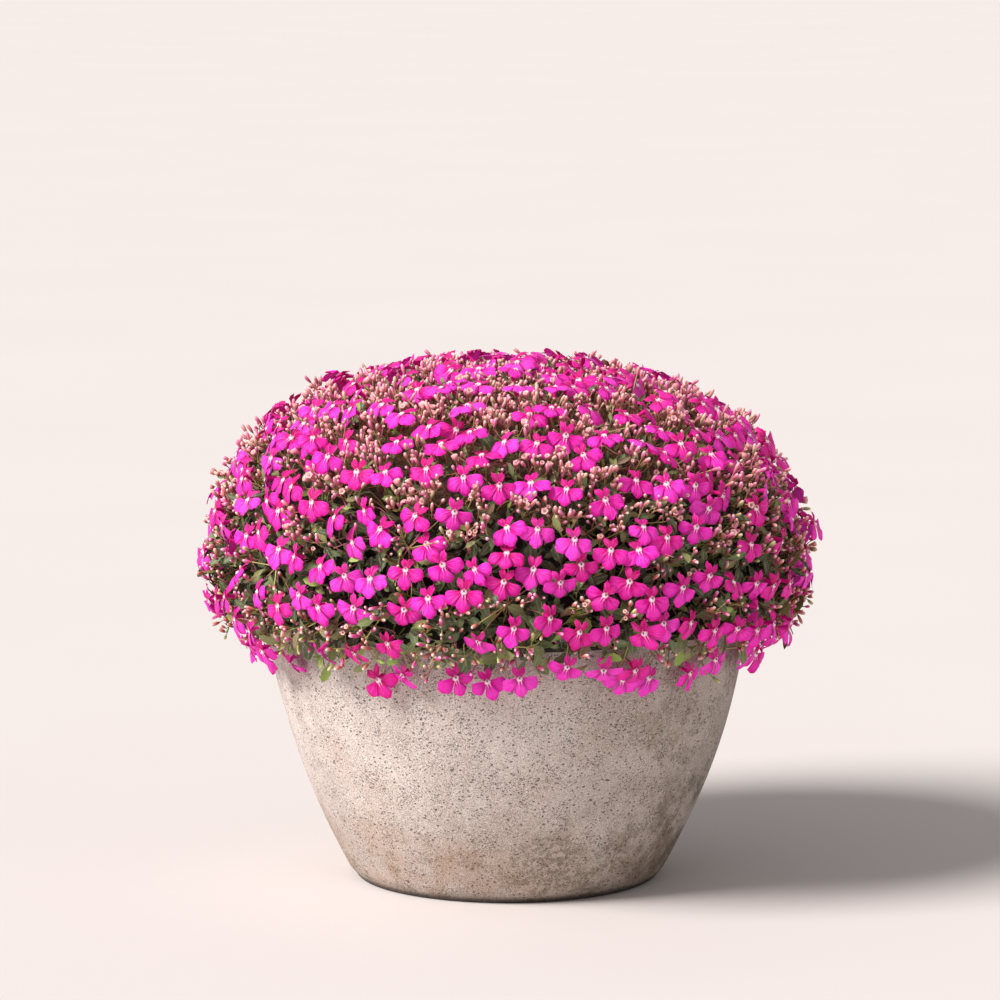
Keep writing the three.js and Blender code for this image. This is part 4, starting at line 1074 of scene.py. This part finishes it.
bud_side = np.cos(bud_turn)[..., None] * twig.round[:, None]
bud_side = bud_side + np.sin(bud_turn)[..., None] * twig.up[:, None]
bud_side[:, 0] *= 0.35
bud_way = unit(twig.out[:, None] * chance.uniform(0.4, 1.2, (TWIGS, BUDS_EACH, 1)) + bud_side * 0.7 + [0, 0, 0.5])
bud_step = BUD_PLACES * (TWIG_STEPS - 1)
before = np.floor(bud_step).astype(int).clip(0, TWIG_STEPS - 2)
part = (bud_step - before)[:, None]
bud_root = twig_path[:, before] * (1 - part) + twig_path[:, before + 1] * part
bud_stalk = chance.uniform(*BUD_STALKS, (TWIGS, BUDS_EACH, 1))
bud_stalk[:, 0] = END_STALK
bud_foot = bud_root + bud_way * bud_stalk
bud_size = 2.6 + 4.0 * chance.random((TWIGS, BUDS_EACH)) ** 1.6
bud_is_open = chance.random((TWIGS, BUDS_EACH)) < 0.11 + 0.16 * upper_share(twig_tip[:, 2:])
bud_tone = chance.random((TWIGS, BUDS_EACH))
bud_end = bud_foot + bud_way * bud_size[..., None]
bud_clear = ~hides_bloom(bud_end.reshape(-1, 3)).reshape(TWIGS, BUDS_EACH)
bud_clear &= (np.hypot(bud_end[..., 0], bud_end[..., 1]) < FURTHEST) & (bud_end[..., 2] < HIGHEST)

for k, plant in enumerate(PLANTS):
    here = twig_plant == k
    shown = bud_clear[here]
    stems = Heap()
    add_tubes(stems, 0, twig_path[here], np.linspace(*TWIG_RADII, TWIG_STEPS), twig_tone[here])
    starts, ends = bud_root[here][shown], bud_foot[here][shown]
    lift = np.repeat(twig.out[here][:, None], BUDS_EACH, 1)[shown]
    ends_in = ends + 0.2 * bud_way[here][shown]
    stalks = bends(starts, (starts + ends) / 2 - lift * 0.6, ends_in, STALK_STEPS)
    add_tubes(stems, 0, stalks, STALK_RADIUS, np.repeat(twig_tone[here][:, None], BUDS_EACH, 1)[shown])
    own = plant_of(sprig_foot) == k
    hung = bends(sprig_top[own], sprig_top[own] + 7 * sprig.radial[own], sprig_foot[own], TWIG_STEPS)
    add_tubes(stems, 0, hung, SPRIG_RADIUS, 0.45)
    way, size = bud_way[here][shown], bud_size[here][shown]
    add_buds(stems, 1, ends, way, size, bud_is_open[here][shown], bud_tone[here][shown])
    stems.piece(f"{plant}_twigs", [stem_brown, bud_rose])

# The stage
# A plain pale floor under an even pale sky, with one soft sun from high on the left and a little in front.

FLOOR_SIZE = 80.0
CAMERA_PLACE = (0.0, -2.4515, 0.5297)
CAMERA_PITCH = 7.85
CAMERA_LENS = 175.8
CAMERA_SHIFT = -0.007
SKY = (0.93, 0.92, 0.9, 1.0)
SKY_STRENGTH = 0.42
SUN_STRENGTH = 4.7
SUN_WIDTH = 24
SUN_COLOUR = (1.0, 0.96, 0.94)
SUN_TILT = 48
SUN_TURN = -61


def floor_paint():
    """Pale and matte, with a faint unevenness."""
    paint = Paint("pale_floor")
    cloud = paint.noise(paint.place(), 3.0, 2.0)
    return paint.finish(paint.mix(cloud * 0.5, "#dad4d2", "#d3ccca"), 0.8)


floor_mesh = bpy.data.meshes.new("floor")
half = FLOOR_SIZE / 2
corners = [(-half, -half, 0), (half, -half, 0), (half, half, 0), (-half, half, 0)]
floor_mesh.from_pydata(corners, [], [(0, 1, 2, 3)])
floor_mesh.materials.append(floor_paint())
floor = linked("floor", floor_mesh)

world = bpy.data.worlds.new("soft_world")
world.use_nodes = True
sky = world.node_tree.nodes["Background"].inputs
sky["Color"].default_value = SKY
sky["Strength"].default_value = SKY_STRENGTH
bpy.context.scene.world = world
bpy.context.scene.view_settings.view_transform = "Standard"

sun = bpy.data.lights.new("sun", "SUN")
sun.energy = SUN_STRENGTH
sun.angle = math.radians(SUN_WIDTH)
sun.color = SUN_COLOUR
sun_lamp = linked("sun", sun)
sun_lamp.rotation_euler = (math.radians(SUN_TILT), 0.0, math.radians(SUN_TURN))

lens = bpy.data.cameras.new("camera")
lens.lens = CAMERA_LENS
lens.sensor_width = 36.0
lens.shift_x = CAMERA_SHIFT
camera = linked("camera", lens)
camera.location = CAMERA_PLACE
camera.rotation_euler = (math.radians(90 - CAMERA_PITCH), 0.0, 0.0)
bpy.context.scene.camera = camera
